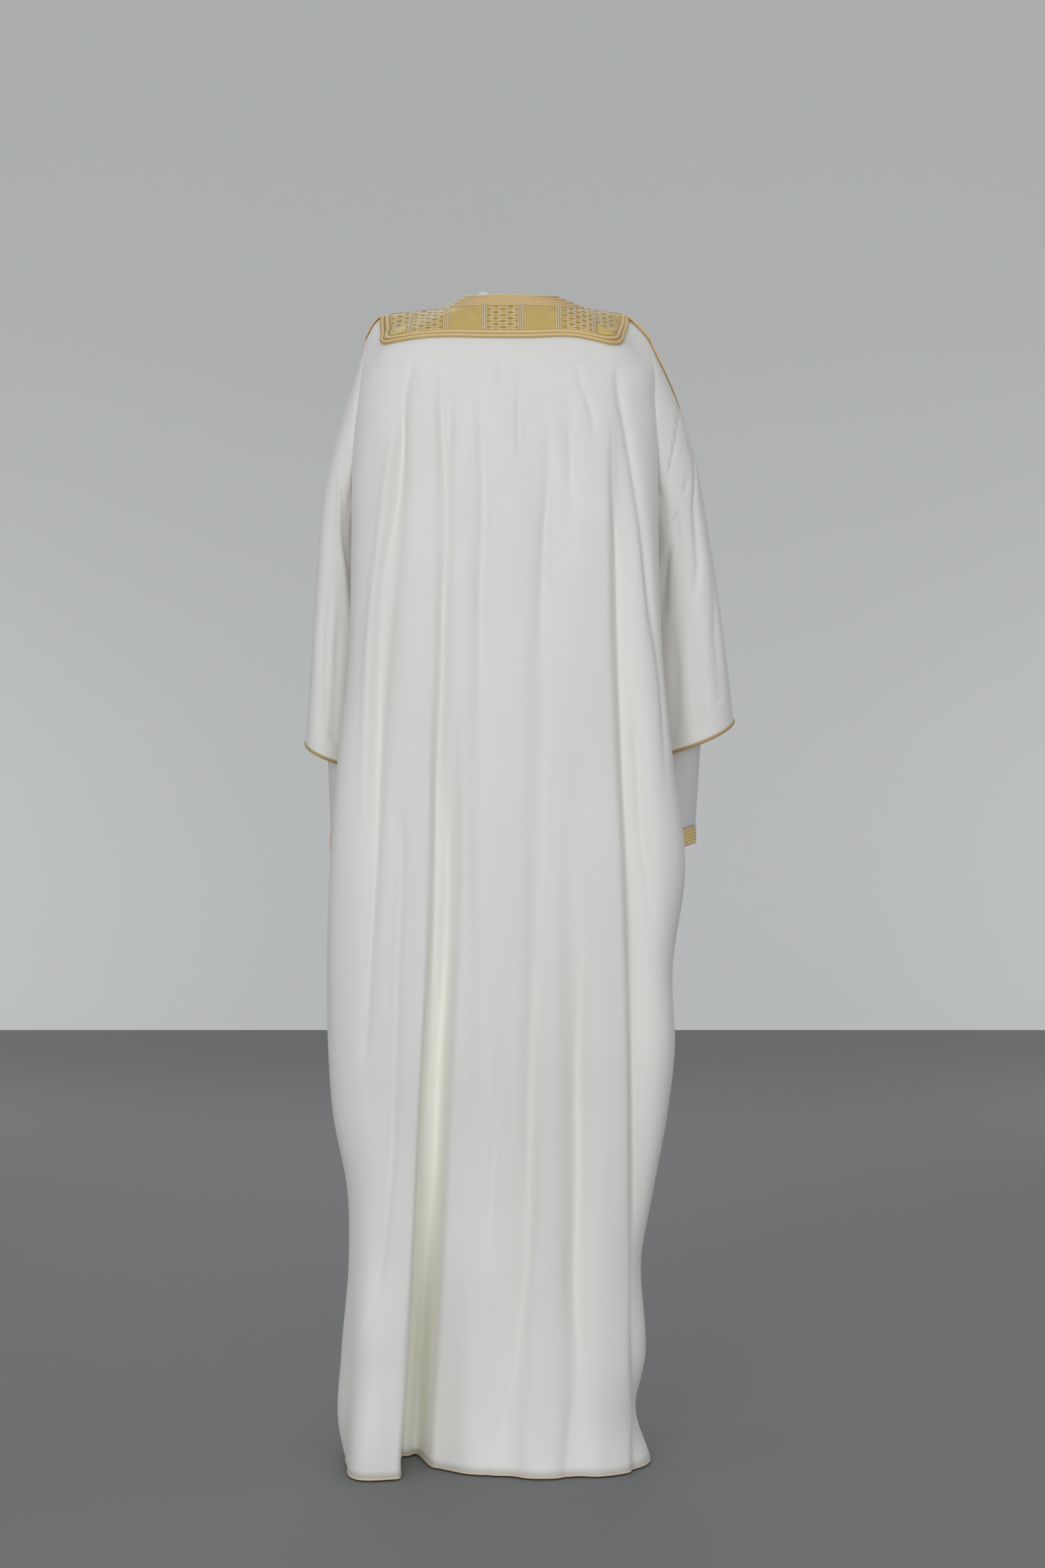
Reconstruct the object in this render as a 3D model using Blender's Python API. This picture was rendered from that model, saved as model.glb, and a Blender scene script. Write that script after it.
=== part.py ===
"""Two-piece thobe, worn: an open outer robe with a gold yoke over an inner thobe.

Metres, +Z up. The wearer faces -Y, so +Y is the back and +X the wearer's left.
The origin is between the shoulders that hold the garment up. Heights in the tables
are above the floor. Every cloth piece is a wall whose two skins are worked out from
rings: a table row gives one ring's sizes and `theta` runs round it, from the middle
of the back (0) by the wearer's left side (90) to the middle of the front (180).
"""

import math

import bmesh
import bpy
import numpy as np

# Driving sizes
ORIGIN_HEIGHT = 1.55
ROBE_WALL = 0.0020
THOBE_WALL = 0.0015
SEAM_GAP = 0.0003
LAY_GAP = 0.0004
SLEEVE_GAP = 0.0009
HEM_HEIGHT = 0.0048
BORDER_FROM = 0.60
CUFF_HEIGHT = 0.024
COLLAR_HEIGHT = 0.030
COLLAR_LEAN = 0.004
COLLAR_OPENING_DEG = 4.0
HEM_CORD_RADIUS = 0.0019
SLEEVE_CORD_RADIUS = 0.0022
OVERARM_CORD_RADIUS = 0.0028
OVERARM_CORD_ROWS = 4
OVERARM_CORD_START = 0.22
CORD_LIFT = 0.0030
CORNER_OUT = 0.2
CORNER_DOWN = 0.6
BUTTON_RADIUS = 0.0055
BUTTON_THICKNESS = 0.0024
BUTTON_SOFTENING = 0.25
BUTTON_SIDES = 16
PLACKET_ROWS = 4
PLACKET_SHARE = 0.46
SLEEVE_BLEND_TO = 0.30
LEAN_POWER = 1.5

# Mesh fineness
BACK_COLUMNS = 36
FRONT_COLUMNS = 9
THOBE_COLUMNS = 12
ROBE_ARMHOLE_STEPS = 8
THOBE_ARMHOLE_STEPS = 6
# The seam below the thobe's back yoke: at this step down the armhole, and half its gap
YOKE_SEAM_STEP = 4
YOKE_SEAM_RUN = 0.00022
CORD_BEVEL_RESOLUTION = 1
SHARP_ABOVE_DEG = 50.0
ANGLE_STEP = 0.02
RUN_STEP = 0.0009
SLEEVE_STEP = 0.004

ROBE_ARMHOLE_DEG = 24.0
THOBE_ARMHOLE_DEG = 30.0
# How quickly the columns' pull towards an armhole dies away from it
WIDE_PULL = 3
NARROW_PULL = 1
# The folds die away this quickly round the side
FOLD_FADE = 6.0

# left, right: half widths. wide, back, front: where the ring is widest, and its ends, along Y.
# The powers round the ring: under 1 is boxy, over 1 draws it in. fall: how soon it drops behind
# and before the shoulder line. seam: where the side or shoulder seam is. open: half the opening.
SECTION_COLUMNS = (
    "name left right wide back front back_height side_height front_height "
    "back_power front_power back_fall front_fall seam open"
)
ROBE_SECTIONS = (
    ("neck", 0.050, 0.068, 0.002, 0.072, -0.062, 1.562, 1.574, 1.515, 0.80, 1.00, 1.5, 1.5, 90, 36),
    ("band", 0.079, 0.106, 0.002, 0.092, -0.092, 1.545, 1.558, 1.478, 0.70, 0.95, 2.5, 1.8, 90, 30),
    ("yoke_middle", 0.125, 0.140, 0.002, 0.110, -0.116, 1.524, 1.551, 1.440, 0.58, 0.85, 4.0, 2.0, 90, 26),
    ("yoke", 0.168, 0.169, 0.002, 0.126, -0.136, 1.499, 1.543, 1.402, 0.50, 0.80, 6.0, 2.0, 90, 24),
    ("shoulder", 0.186, 0.196, 0.002, 0.138, -0.148, 1.462, 1.519, 1.370, 0.52, 0.80, 4.5, 2.0, 90, 24),
    ("chest_top", 0.200, 0.206, 0.020, 0.150, -0.155, 1.400, 1.440, 1.330, 0.58, 0.90, 3.0, 1.8, 95, 24),
    ("chest", 0.204, 0.207, 0.045, 0.156, -0.158, 1.330, 1.350, 1.280, 0.65, 1.10, 2.0, 1.5, 104, 25),
    ("underarm", 0.204, 0.206, 0.062, 0.158, -0.161, 1.255, 1.255, 1.240, 0.68, 1.35, 1.5, 1.5, 114, 26),
    ("waist", 0.209, 0.213, 0.068, 0.152, -0.165, 1.060, 1.060, 1.060, 0.70, 1.50, 1.0, 1.0, 116, 26),
    ("high_hip", 0.223, 0.231, 0.064, 0.147, -0.163, 0.934, 0.934, 0.934, 0.70, 1.50, 1.0, 1.0, 115, 25),
    ("hip", 0.2335, 0.2425, 0.056, 0.142, -0.160, 0.800, 0.800, 0.800, 0.70, 1.42, 1.0, 1.0, 112, 24),
    ("thigh", 0.238, 0.226, 0.046, 0.135, -0.158, 0.660, 0.660, 0.660, 0.70, 1.15, 1.0, 1.0, 109, 24),
    ("low_thigh", 0.2365, 0.229, 0.040, 0.130, -0.156, 0.550, 0.550, 0.550, 0.70, 0.98, 1.0, 1.0, 107, 24),
    ("knee", 0.231, 0.220, 0.036, 0.125, -0.155, 0.470, 0.470, 0.470, 0.70, 0.90, 1.0, 1.0, 106, 24),
    ("high_calf", 0.211, 0.2005, 0.034, 0.121, -0.155, 0.360, 0.360, 0.360, 0.70, 0.88, 1.0, 1.0, 105, 24),
    ("calf", 0.2095, 0.187, 0.034, 0.121, -0.157, 0.270, 0.270, 0.270, 0.70, 0.86, 1.0, 1.0, 105, 25),
    ("low_calf", 0.2195, 0.1915, 0.034, 0.125, -0.160, 0.145, 0.145, 0.145, 0.70, 0.85, 1.0, 1.0, 105, 26),
    ("ankle", 0.223, 0.181, 0.035, 0.136, -0.164, 0.050, 0.050, 0.050, 0.70, 0.85, 1.0, 1.0, 105, 27),
    ("hem", 0.213, 0.196, 0.035, 0.146, -0.166, *3 * (HEM_HEIGHT,), 0.70, 0.85, 1.0, 1.0, 105, 27),
)
THOBE_SECTIONS = (
    ("neck", 0.050, 0.062, 0.000, 0.062, -0.058, 1.530, 1.537, 1.485, 0.80, 1.00, 1.5, 1.5, 90, 0),
    ("shoulder_middle", 0.108, 0.116, 0.000, 0.096, -0.092, 1.498, 1.526, 1.430, 0.65, 0.90, 3.0, 2.0, 90, 0),
    ("shoulder", 0.156, 0.162, 0.000, 0.110, -0.106, 1.440, 1.494, 1.370, 0.60, 0.90, 3.0, 2.0, 90, 0),
    ("chest", 0.160, 0.163, 0.006, 0.116, -0.111, 1.370, 1.405, 1.320, 0.65, 0.95, 2.0, 1.6, 92, 0),
    ("underarm", 0.158, 0.161, 0.008, 0.117, -0.113, 1.305, 1.315, 1.285, 0.70, 1.00, 1.5, 1.5, 94, 0),
    ("waist", 0.148, 0.152, 0.000, 0.106, -0.114, 1.060, 1.060, 1.060, 0.75, 1.00, 1.0, 1.0, 92, 0),
    ("hip", 0.152, 0.156, -0.010, 0.096, -0.114, 0.850, 0.850, 0.850, 0.75, 0.95, 1.0, 1.0, 90, 0),
    ("thigh", 0.160, 0.158, -0.020, 0.070, -0.116, 0.600, 0.600, 0.600, 0.75, 0.90, 1.0, 1.0, 90, 0),
    ("knee", 0.158, 0.148, -0.030, 0.040, -0.120, 0.350, 0.350, 0.350, 0.75, 0.85, 1.0, 1.0, 90, 0),
    ("hem", 0.156, 0.142, -0.040, 0.012, -0.126, 0.030, 0.030, 0.030, 0.75, 0.85, 1.0, 1.0, 90, 0),
)

# Lengthwise folds of the robe's back. x is where the trough runs, at a high, a middle and a low
# height; depth is how far it goes in there. It starts from nothing at `start`. inner and outer
# are its reach towards the middle of the back and away from it. flat over 2 widens its floor.
FOLD_COLUMNS = (
    "name start high_height high_x high_depth middle_height middle_x middle_depth "
    "low_height low_x low_depth inner outer flat"
)
ROBE_FOLDS = (
    ("left_from_yoke", 1.50, 1.30, 0.138, 0.007, 1.00, 0.164, 0.010, 0.60, 0.180, 0.000, 0.012, 0.016, 2),
    ("left_crease", 1.50, 1.33, 0.079, 0.004, 1.06, 0.080, 0.005, 0.85, 0.088, 0.000, 0.010, 0.008, 2),
    ("deep_trough", 1.05, 0.80, 0.078, 0.014, 0.50, 0.095, 0.036, 0.02, 0.114, 0.112, 0.026, 0.022, 4),
    ("left_of_middle", 1.46, 1.25, 0.027, 0.004, 0.87, 0.027, 0.005, 0.20, 0.026, 0.006, 0.018, 0.018, 2),
    ("right_of_middle", 1.40, 1.10, -0.054, 0.007, 0.76, -0.046, 0.009, 0.04, -0.010, 0.008, 0.018, 0.020, 2),
    ("right_short", 1.45, 1.36, -0.086, 0.004, 1.28, -0.088, 0.003, 1.15, -0.088, 0.000, 0.012, 0.012, 2),
    ("right_low", 0.98, 0.72, -0.089, 0.008, 0.45, -0.098, 0.011, 0.04, -0.098, 0.009, 0.018, 0.018, 2),
    ("right_set_back", 1.46, 1.15, -0.150, 0.014, 0.66, -0.164, 0.019, 0.10, -0.170, 0.026, 0.013, 0.034, 2),
    ("left_hem_swell", 0.50, 0.30, 0.172, -0.008, 0.15, 0.176, -0.018, 0.02, 0.178, -0.026, 0.034, 0.030, 2),
)

# Each row is one oval of a sleeve, between its outer line and its inner line. back_lean draws
# its back outwards, front_lean its front inwards, and sag drops both below the straight cut.
SLEEVE_COLUMNS = (
    "name at outer_x outer_height inner_x inner_height middle_y half_depth back_lean front_lean sag"
)
ROBE_SLEEVES = {
    "left": (
        ("armhole", 0.00, 0.188, 1.519, 0.189, 1.262, -0.004, 0.078, 0.030, -0.008, 0.000),
        ("upper", 0.16, 0.209, 1.420, 0.190, 1.235, -0.012, 0.078, 0.030, -0.003, 0.000),
        ("above_elbow", 0.36, 0.236, 1.305, 0.186, 1.175, -0.030, 0.076, 0.028, 0.012, 0.000),
        ("elbow", 0.54, 0.248, 1.205, 0.180, 1.105, -0.044, 0.076, 0.028, 0.018, 0.000),
        ("forearm", 0.76, 0.256, 1.095, 0.175, 1.022, -0.058, 0.081, 0.030, 0.022, 0.001),
        ("hem", 1.00, 0.267, 0.974, 0.172, 0.928, -0.074, 0.088, 0.030, 0.024, 0.002),
    ),
    "right": (
        ("armhole", 0.00, 0.198, 1.519, 0.190, 1.262, -0.004, 0.078, 0.030, -0.008, 0.000),
        ("upper", 0.16, 0.234, 1.430, 0.192, 1.235, -0.012, 0.078, 0.030, -0.003, 0.000),
        ("above_elbow", 0.36, 0.262, 1.310, 0.191, 1.175, -0.030, 0.076, 0.028, 0.012, 0.000),
        ("elbow", 0.54, 0.282, 1.205, 0.188, 1.110, -0.044, 0.077, 0.028, 0.018, 0.000),
        ("forearm", 0.76, 0.297, 1.105, 0.185, 1.035, -0.058, 0.083, 0.030, 0.022, 0.001),
        ("hem", 1.00, 0.311, 1.003, 0.184, 0.945, -0.074, 0.092, 0.030, 0.024, 0.002),
    ),
}
THOBE_SLEEVES = {
    "left": (
        ("armhole", 0.00, 0.158, 1.494, 0.160, 1.330, -0.002, 0.060, 0.006, 0.000, 0.000),
        ("upper", 0.14, 0.188, 1.436, 0.188, 1.318, -0.008, 0.055, 0.009, 0.002, 0.000),
        ("above_elbow", 0.30, 0.221, 1.320, 0.200, 1.255, -0.026, 0.048, 0.011, 0.006, 0.000),
        ("elbow", 0.46, 0.235, 1.205, 0.195, 1.130, -0.042, 0.046, 0.013, 0.010, 0.000),
        ("forearm", 0.66, 0.241, 1.080, 0.190, 1.030, -0.058, 0.044, 0.013, 0.010, 0.000),
        ("wrist", 0.86, 0.240, 0.940, 0.183, 0.920, -0.076, 0.040, 0.009, 0.006, 0.000),
        ("cuff", 1.00, 0.2335, 0.842, 0.168, 0.838, -0.092, 0.034, 0.000, 0.000, 0.000),
    ),
    "right": (
        ("armhole", 0.00, 0.164, 1.494, 0.163, 1.330, -0.002, 0.060, 0.006, 0.000, 0.000),
        ("upper", 0.14, 0.203, 1.440, 0.191, 1.318, -0.008, 0.055, 0.009, 0.002, 0.000),
        ("above_elbow", 0.30, 0.242, 1.320, 0.205, 1.255, -0.026, 0.048, 0.011, 0.006, 0.000),
        ("elbow", 0.46, 0.262, 1.205, 0.203, 1.130, -0.042, 0.046, 0.013, 0.010, 0.000),
        ("forearm", 0.66, 0.272, 1.080, 0.201, 1.030, -0.058, 0.044, 0.013, 0.010, 0.000),
        ("wrist", 0.86, 0.266, 0.940, 0.196, 0.925, -0.076, 0.040, 0.009, 0.006, 0.000),
        ("cuff", 1.00, 0.2575, 0.850, 0.190, 0.838, -0.092, 0.034, 0.000, 0.000, 0.000),
    ),
}
SIDES = {"left": 1.0, "right": -1.0}

# Lines of what lies on the robe, from its top edge down: the panel's row above the line, the
# share of the way to the next row, and the thickness there.
LAID_COLUMNS = "name row share thickness"
BAND_LINES = (
    ("top", 0, 0.02, 0.0014),
    ("upper_rib", 0, 0.25, 0.0022),
    ("between_ribs", 0, 0.50, 0.0014),
    ("lower_rib", 0, 0.75, 0.0022),
    ("bottom", 0, 0.97, 0.0014),
)
YOKE_LINES = (
    ("top", 1, 0.01, 0.0016),
    ("middle", 2, 0.00, 0.0016),
    ("above_border", 3, 0.00, 0.0016),
    ("border_top", 3, 0.15, 0.0026),
    ("border_bottom", 3, 0.97, 0.0026),
)
# Lines round a cuff, from its top down
CUFF_COLUMNS = "name share thickness"
CUFF_LINES = (
    ("top", 0.00, 0.0016),
    ("upper_rib", 0.12, 0.0024),
    ("upper_groove", 0.30, 0.0018),
    ("middle_rib", 0.48, 0.0024),
    ("lower_groove", 0.66, 0.0018),
    ("lower_rib", 0.84, 0.0024),
    ("bottom", 1.00, 0.0016),
)
COLLAR_LINES = (0.0, 0.35, 0.70, 1.0)

BUTTON_HEIGHTS = (1.452, 1.405, 1.358)

# colour, roughness, metallic
FINISHES = {
    "ivory_crepe": ((0.80, 0.79, 0.75), 0.62, 0.0),
    "ivory_inner": ((0.82, 0.81, 0.78), 0.68, 0.0),
    "gold_weave": ((0.72, 0.54, 0.22), 0.45, 0.35),
    "gold_braid": ((0.78, 0.58, 0.30), 0.42, 0.35),
    "ochre_piping": ((0.60, 0.42, 0.18), 0.55, 0.1),
    "peach_piping": ((0.80, 0.66, 0.48), 0.55, 0.1),
    "pearl_button": ((0.86, 0.84, 0.78), 0.30, 0.0),
}


def table(columns, rows):
    """The columns of a table by name, each as an array down its rows."""
    return {name: np.array([row[i] for row in rows]) for i, name in enumerate(columns.split())}


def smooth(at, knots, values):
    """A smooth curve through (knots, values), read at each `at`."""
    at = np.clip(at, knots[0], knots[-1])
    slopes = np.gradient(values, knots)
    i = np.clip(np.searchsorted(knots, at, side="right") - 1, 0, len(knots) - 2)
    width = knots[i + 1] - knots[i]
    t = (at - knots[i]) / width
    start, end = values[i], values[i + 1]
    return (
        start * (1 + 2 * t) * (1 - t) ** 2
        + end * t**2 * (3 - 2 * t)
        + width * slopes[i] * t * (1 - t) ** 2
        - width * slopes[i + 1] * t**2 * (1 - t)
    )


def eased(at, knots, values):
    """Like np.interp, with no corner at the knots."""
    knots, values = np.array(knots), np.array(values)
    i = np.clip(np.searchsorted(knots, at, side="right") - 1, 0, len(knots) - 2)
    t = np.clip((at - knots[i]) / (knots[i + 1] - knots[i]), 0, 1)
    return values[i] + (values[i + 1] - values[i]) * t**2 * (3 - 2 * t)


def sections(rows):
    """The table of rings, with each ring's distance down the cloth from the neck."""
    rings = table(SECTION_COLUMNS, rows)
    steps = np.hypot(np.diff(rings["back"] - rings["front"]) / 2, np.diff(rings["back_height"]))
    steps = np.maximum(steps, np.hypot(np.diff(rings["left"]), np.diff(rings["side_height"])))
    rings["run"] = np.concatenate([[0], np.cumsum(steps)])
    return rings


def run_of(rings, name):
    return rings["run"][list(rings["name"]).index(name)]


def ring_points(rings, theta, run):
    """Points of the plain rings, with no folds. theta is in radians."""
    s = {k: smooth(run, rings["run"], rings[k]) for k in rings if k not in ("name", "run")}
    side, back = np.sin(theta), np.cos(theta)
    behind = back > 0
    half = np.where(side > 0, s["left"], s["right"])
    deep = np.where(behind, s["back"] - s["wide"], s["wide"] - s["front"])
    power = np.where(behind, s["back_power"], s["front_power"])
    x = half * np.sign(side) * np.abs(side) ** power
    y = s["wide"] + deep * np.sign(back) * np.abs(back) ** power
    end_height = np.where(behind, s["back_height"], s["front_height"])
    falling = 1 - (1 - np.abs(back)) ** np.where(behind, s["back_fall"], s["front_fall"])
    height = s["side_height"] + (end_height - s["side_height"]) * falling
    return np.stack([x, y, height], axis=-1)


def fold_depth(rings, folds, theta, run, height):
    """How far the folds press the back of the robe in, at each point."""
    half_left = smooth(run, rings["run"], rings["left"])
    half_right = smooth(run, rings["run"], rings["right"])
    power = smooth(run, rings["run"], rings["back_power"])
    deep = smooth(run, rings["run"], rings["back"] - rings["wide"])
    total = np.zeros_like(height)
    for k in range(len(folds["name"])):
        f = {name: column[k] for name, column in folds.items()}
        heights = [f["low_height"], f["middle_height"], f["high_height"], f["start"]]
        x = smooth(height, np.array(heights), np.array([f["low_x"], f["middle_x"], f["high_x"], f["high_x"]]))
        depth = eased(height, heights, [f["low_depth"], f["middle_depth"], f["high_depth"], 0])
        half = np.where(x > 0, half_left, half_right)
        reach = np.clip(np.abs(x) / half, 0, 0.999)
        centre = np.arcsin(reach ** (1 / power))
        outside = np.abs(theta) - centre
        same_side = np.sign(theta) == np.sign(x)
        outside = np.where(same_side, outside, -np.abs(theta) - centre)
        # Arc length for each radian, near the fold
        stretch = np.hypot(
            half * power * reach ** (1 - 1 / power) * np.cos(centre),
            deep * power * np.cos(centre) ** (power - 1) * np.sin(centre),
        )
        width = np.where(outside > 0, f["outer"], f["inner"])
        total += depth * np.exp(-np.abs(outside * stretch / width) ** f["flat"])
    return total


def body_points(rings, folds, theta, run):
    """Points of the robe's or the thobe's outer skin, folds included."""
    theta, run = np.broadcast_arrays(np.asarray(theta, float), np.asarray(run, float))
    points = ring_points(rings, theta, run)
    if folds is None:
        return points
    along = ring_points(rings, theta + ANGLE_STEP, run) - ring_points(rings, theta - ANGLE_STEP, run)
    outward = np.stack([-along[..., 1], along[..., 0], np.zeros_like(theta)], axis=-1)
    outward /= np.linalg.norm(outward, axis=-1, keepdims=True)
    fading = np.clip(np.cos(theta) * FOLD_FADE + 1, 0, 1)
    depth = fold_depth(rings, folds, theta, run, points[..., 2]) * fading
    return points - outward * depth[..., None]


def normals(skin, a, b, step_a, step_b):
    """Unit normals of skin(a, b)."""
    across = skin(a + step_a, b) - skin(a - step_a, b)
    down = skin(a, b + step_b) - skin(a, b - step_b)
    n = np.cross(across, down)
    return n / np.linalg.norm(n, axis=-1, keepdims=True)


class Body:
    """One body's rings, folds, armholes and grid lines."""

    def __init__(self, rows, folds, armhole_deg, armhole_steps):
        self.rings = sections(rows)
        self.folds = folds
        self.armhole_deg = armhole_deg
        self.top = run_of(self.rings, "shoulder")
        self.bottom = run_of(self.rings, "underarm")
        turn = np.pi * np.arange(armhole_steps + 1) / armhole_steps
        self.armhole_runs = self.top + (self.bottom - self.top) * (1 - np.cos(turn)) / 2

    def points(self, theta, run):
        return body_points(self.rings, self.folds, theta, run)

    def normals(self, theta, run):
        run = np.clip(run, 2 * RUN_STEP, self.rings["run"][-1] - 2 * RUN_STEP)
        return normals(self.points, theta, run, ANGLE_STEP, RUN_STEP)

    def seam(self, run):
        """Where the back and the front meet, and half the armhole's width there, in radians."""
        middle = smooth(run, self.rings["run"], self.rings["seam"].astype(float))
        share = np.clip((run - self.top) / (self.bottom - self.top), 0, 1)
        half = self.armhole_deg * np.sqrt(np.maximum(1 - (1 - 2 * share) ** 2, 0))
        return np.radians(middle), np.radians(half)

    def gap_angle(self, theta, run):
        """The angle of half a seam gap."""
        after, before = self.points(theta + ANGLE_STEP, run), self.points(theta - ANGLE_STEP, run)
        return SEAM_GAP * ANGLE_STEP / np.linalg.norm(after - before, axis=-1)

    def armhole(self, side, alpha):
        """Points and outward normals of the armhole's edge. alpha is 0 at the shoulder, 90 behind."""
        share = (1 - np.cos(alpha)) / 2
        run = self.top + (self.bottom - self.top) * share
        middle, _ = self.seam(run)
        theta = side * (middle - np.radians(self.armhole_deg) * np.sin(alpha))
        return self.points(theta, run), self.normals(theta, run)


ROBE = Body(ROBE_SECTIONS, table(FOLD_COLUMNS, ROBE_FOLDS), ROBE_ARMHOLE_DEG, ROBE_ARMHOLE_STEPS)
THOBE = Body(THOBE_SECTIONS, None, THOBE_ARMHOLE_DEG, THOBE_ARMHOLE_STEPS)


def even_theta(start, end, shares, body):
    """Angles between start and end that share out the girth of the hip ring evenly."""
    hip = run_of(body.rings, "hip")
    theta = np.linspace(-np.pi, 3 * np.pi, 1601)
    ring = ring_points(body.rings, theta, np.full_like(theta, hip))
    arc = np.concatenate([[0], np.cumsum(np.linalg.norm(np.diff(ring, axis=0), axis=1))])
    first, last = np.interp([start, end], theta, arc)
    return np.interp(first + (last - first) * np.asarray(shares), arc, theta)


def finish(name):
    """The named material, made once."""
    found = bpy.data.materials.get(name)
    if found:
        return found
    colour, roughness, metallic = FINISHES[name]
    material = bpy.data.materials.new(name)
    material.use_nodes = True
    shader = material.node_tree.nodes["Principled BSDF"]
    shader.inputs["Base Color"].default_value = (*colour, 1)
    shader.inputs["Roughness"].default_value = roughness
    shader.inputs["Metallic"].default_value = metallic
    return material


def to_part(points):
    """Table points, with heights above the floor, in the part's own frame."""
    return points - np.array([0, 0, ORIGIN_HEIGHT])


def add_object(name, data, material):
    data.materials.append(finish(material))
    obj = bpy.data.objects.new(name, data)
    bpy.context.scene.collection.objects.link(obj)
    return obj


def wall(name, inner, outer, material, closed=False):
    """A cloth wall between two grids of points [row, column]. closed joins its first and last column."""
    rows, columns = inner.shape[0] - 1, inner.shape[1] - 1
    if closed:
        columns += 1
    bm = bmesh.new()
    column, row = bm.verts.layers.int.new("column"), bm.verts.layers.int.new("row")
    bmesh.ops.create_grid(bm, x_segments=columns, y_segments=rows, size=0.5)
    for v in bm.verts:
        v[column], v[row] = round((v.co.x + 0.5) * columns), round((v.co.y + 0.5) * rows)
    if closed:
        for v in bm.verts:
            turn = 2 * math.pi * v[column] / columns
            v[column] %= columns
            v.co = (math.cos(turn), math.sin(turn), v[row])
        bmesh.ops.remove_doubles(bm, verts=bm.verts, dist=1e-4)
    made = bmesh.ops.extrude_face_region(bm, geom=bm.faces[:], use_keep_orig=True)
    raised = {v for v in made["geom"] if isinstance(v, bmesh.types.BMVert)}
    for v in bm.verts:
        grid = outer if v in raised else inner
        v.co = to_part(grid[v[row], v[column]])
    bmesh.ops.recalc_face_normals(bm, faces=bm.faces)
    if bm.calc_volume(signed=True) < 0:
        bmesh.ops.reverse_faces(bm, faces=bm.faces)
    mesh = bpy.data.meshes.new(name)
    bm.to_mesh(mesh)
    bm.free()
    mesh.shade_smooth()
    mesh.set_sharp_from_angle(angle=math.radians(SHARP_ABOVE_DEG))
    return add_object(name, mesh, material)


def cord(name, points, radius, material, closed=False):
    """A round cord along a row of points."""
    curve = bpy.data.curves.new(name, "CURVE")
    curve.dimensions = "3D"
    curve.bevel_depth = radius
    curve.bevel_resolution = CORD_BEVEL_RESOLUTION
    curve.use_fill_caps = True
    spline = curve.splines.new("POLY")
    spline.points.add(len(points) - 1)
    spline.use_cyclic_u = closed
    for point, place in zip(spline.points, to_part(points)):
        point.co = (*place, 1)
    return add_object(name, curve, material)


def panel_grid(body, start, end, columns, runs, pull):
    """Angles and runs [row, column] of a panel between two edges, each a function of the run."""
    shares = np.linspace(0, 1, columns + 1)
    theta = []
    for run in runs:
        first, last = start(run, False), end(run, False)
        row = even_theta(first, last, shares, body)
        row += (start(run, True) - first) * (1 - shares) ** pull
        row += (end(run, True) - last) * shares**pull
        theta.append(row)
    theta = np.array(theta)
    return theta, np.broadcast_to(np.asarray(runs)[:, None], theta.shape)


def panel(name, body, grid, thickness, material):
    outer = body.points(*grid)
    return wall(name, outer - thickness * body.normals(*grid), outer, material)


def body_runs(body, top_names, low_names):
    """The grid's rows: named rings above the armhole, its own steps, and named rings below it."""
    top = [run_of(body.rings, name) for name in top_names]
    low = [run_of(body.rings, name) for name in low_names]
    return np.concatenate([top, body.armhole_runs, low])


def middles(names_and_shares, body):
    """Runs part of the way from a named ring to the next one."""
    rings = list(body.rings["name"])
    return [
        body.rings["run"][rings.index(name)] * (1 - share) + body.rings["run"][rings.index(name) + 1] * share
        for name, share in names_and_shares
    ]


def edge(body, side, part):
    """The edge of the back or the front at the shoulder, armhole and side, as a function of the run."""

    def angle(run, with_armhole):
        middle, half = body.seam(run)
        away = half * with_armhole + body.gap_angle(middle, run)
        return side * (middle - away if part == "back" else middle + away)

    return angle


def opening_edge(body, side):
    """The front edge of the open robe."""

    def angle(run, with_armhole):
        half = smooth(run, body.rings["run"], body.rings["open"].astype(float))
        return side * (np.pi - np.radians(half))

    return angle


ROBE_TOP = ("neck", "band", "yoke_middle", "yoke")
TOP_ROWS = len(ROBE_TOP) + 1
ROBE_LOW = (
    "waist", "high_hip", "hip", "thigh", "low_thigh", "knee", "high_calf", "calf", "low_calf", "ankle",
    "hem",
)
THOBE_TOP = ("neck", "shoulder_middle")
THOBE_LOW = ("waist", "hip", "thigh", "knee", "hem")
# Rows between two rings: the ring above, and the share of the way to the next one
ROBE_BETWEEN = (("yoke_middle", BORDER_FROM), ("underarm", 0.34), ("underarm", 0.67))
THOBE_BETWEEN = (("underarm", 0.5), ("waist", 0.5), ("hip", 0.5))


def robe_grids():
    """The three panels of the robe, as grids of angles and runs."""
    runs = body_runs(ROBE, ROBE_TOP, ROBE_LOW)
    runs = np.sort(np.concatenate([runs, middles(ROBE_BETWEEN, ROBE)]))
    right, left = edge(ROBE, -1, "back"), edge(ROBE, 1, "back")
    grids = {"robe_back": panel_grid(ROBE, right, left, BACK_COLUMNS, runs, WIDE_PULL)}
    for name, side in SIDES.items():
        ends = edge(ROBE, side, "front"), opening_edge(ROBE, side)
        start, end = ends if side > 0 else ends[::-1]
        grids["robe_front_" + name] = panel_grid(ROBE, start, end, FRONT_COLUMNS, runs, NARROW_PULL)
    return grids


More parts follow.
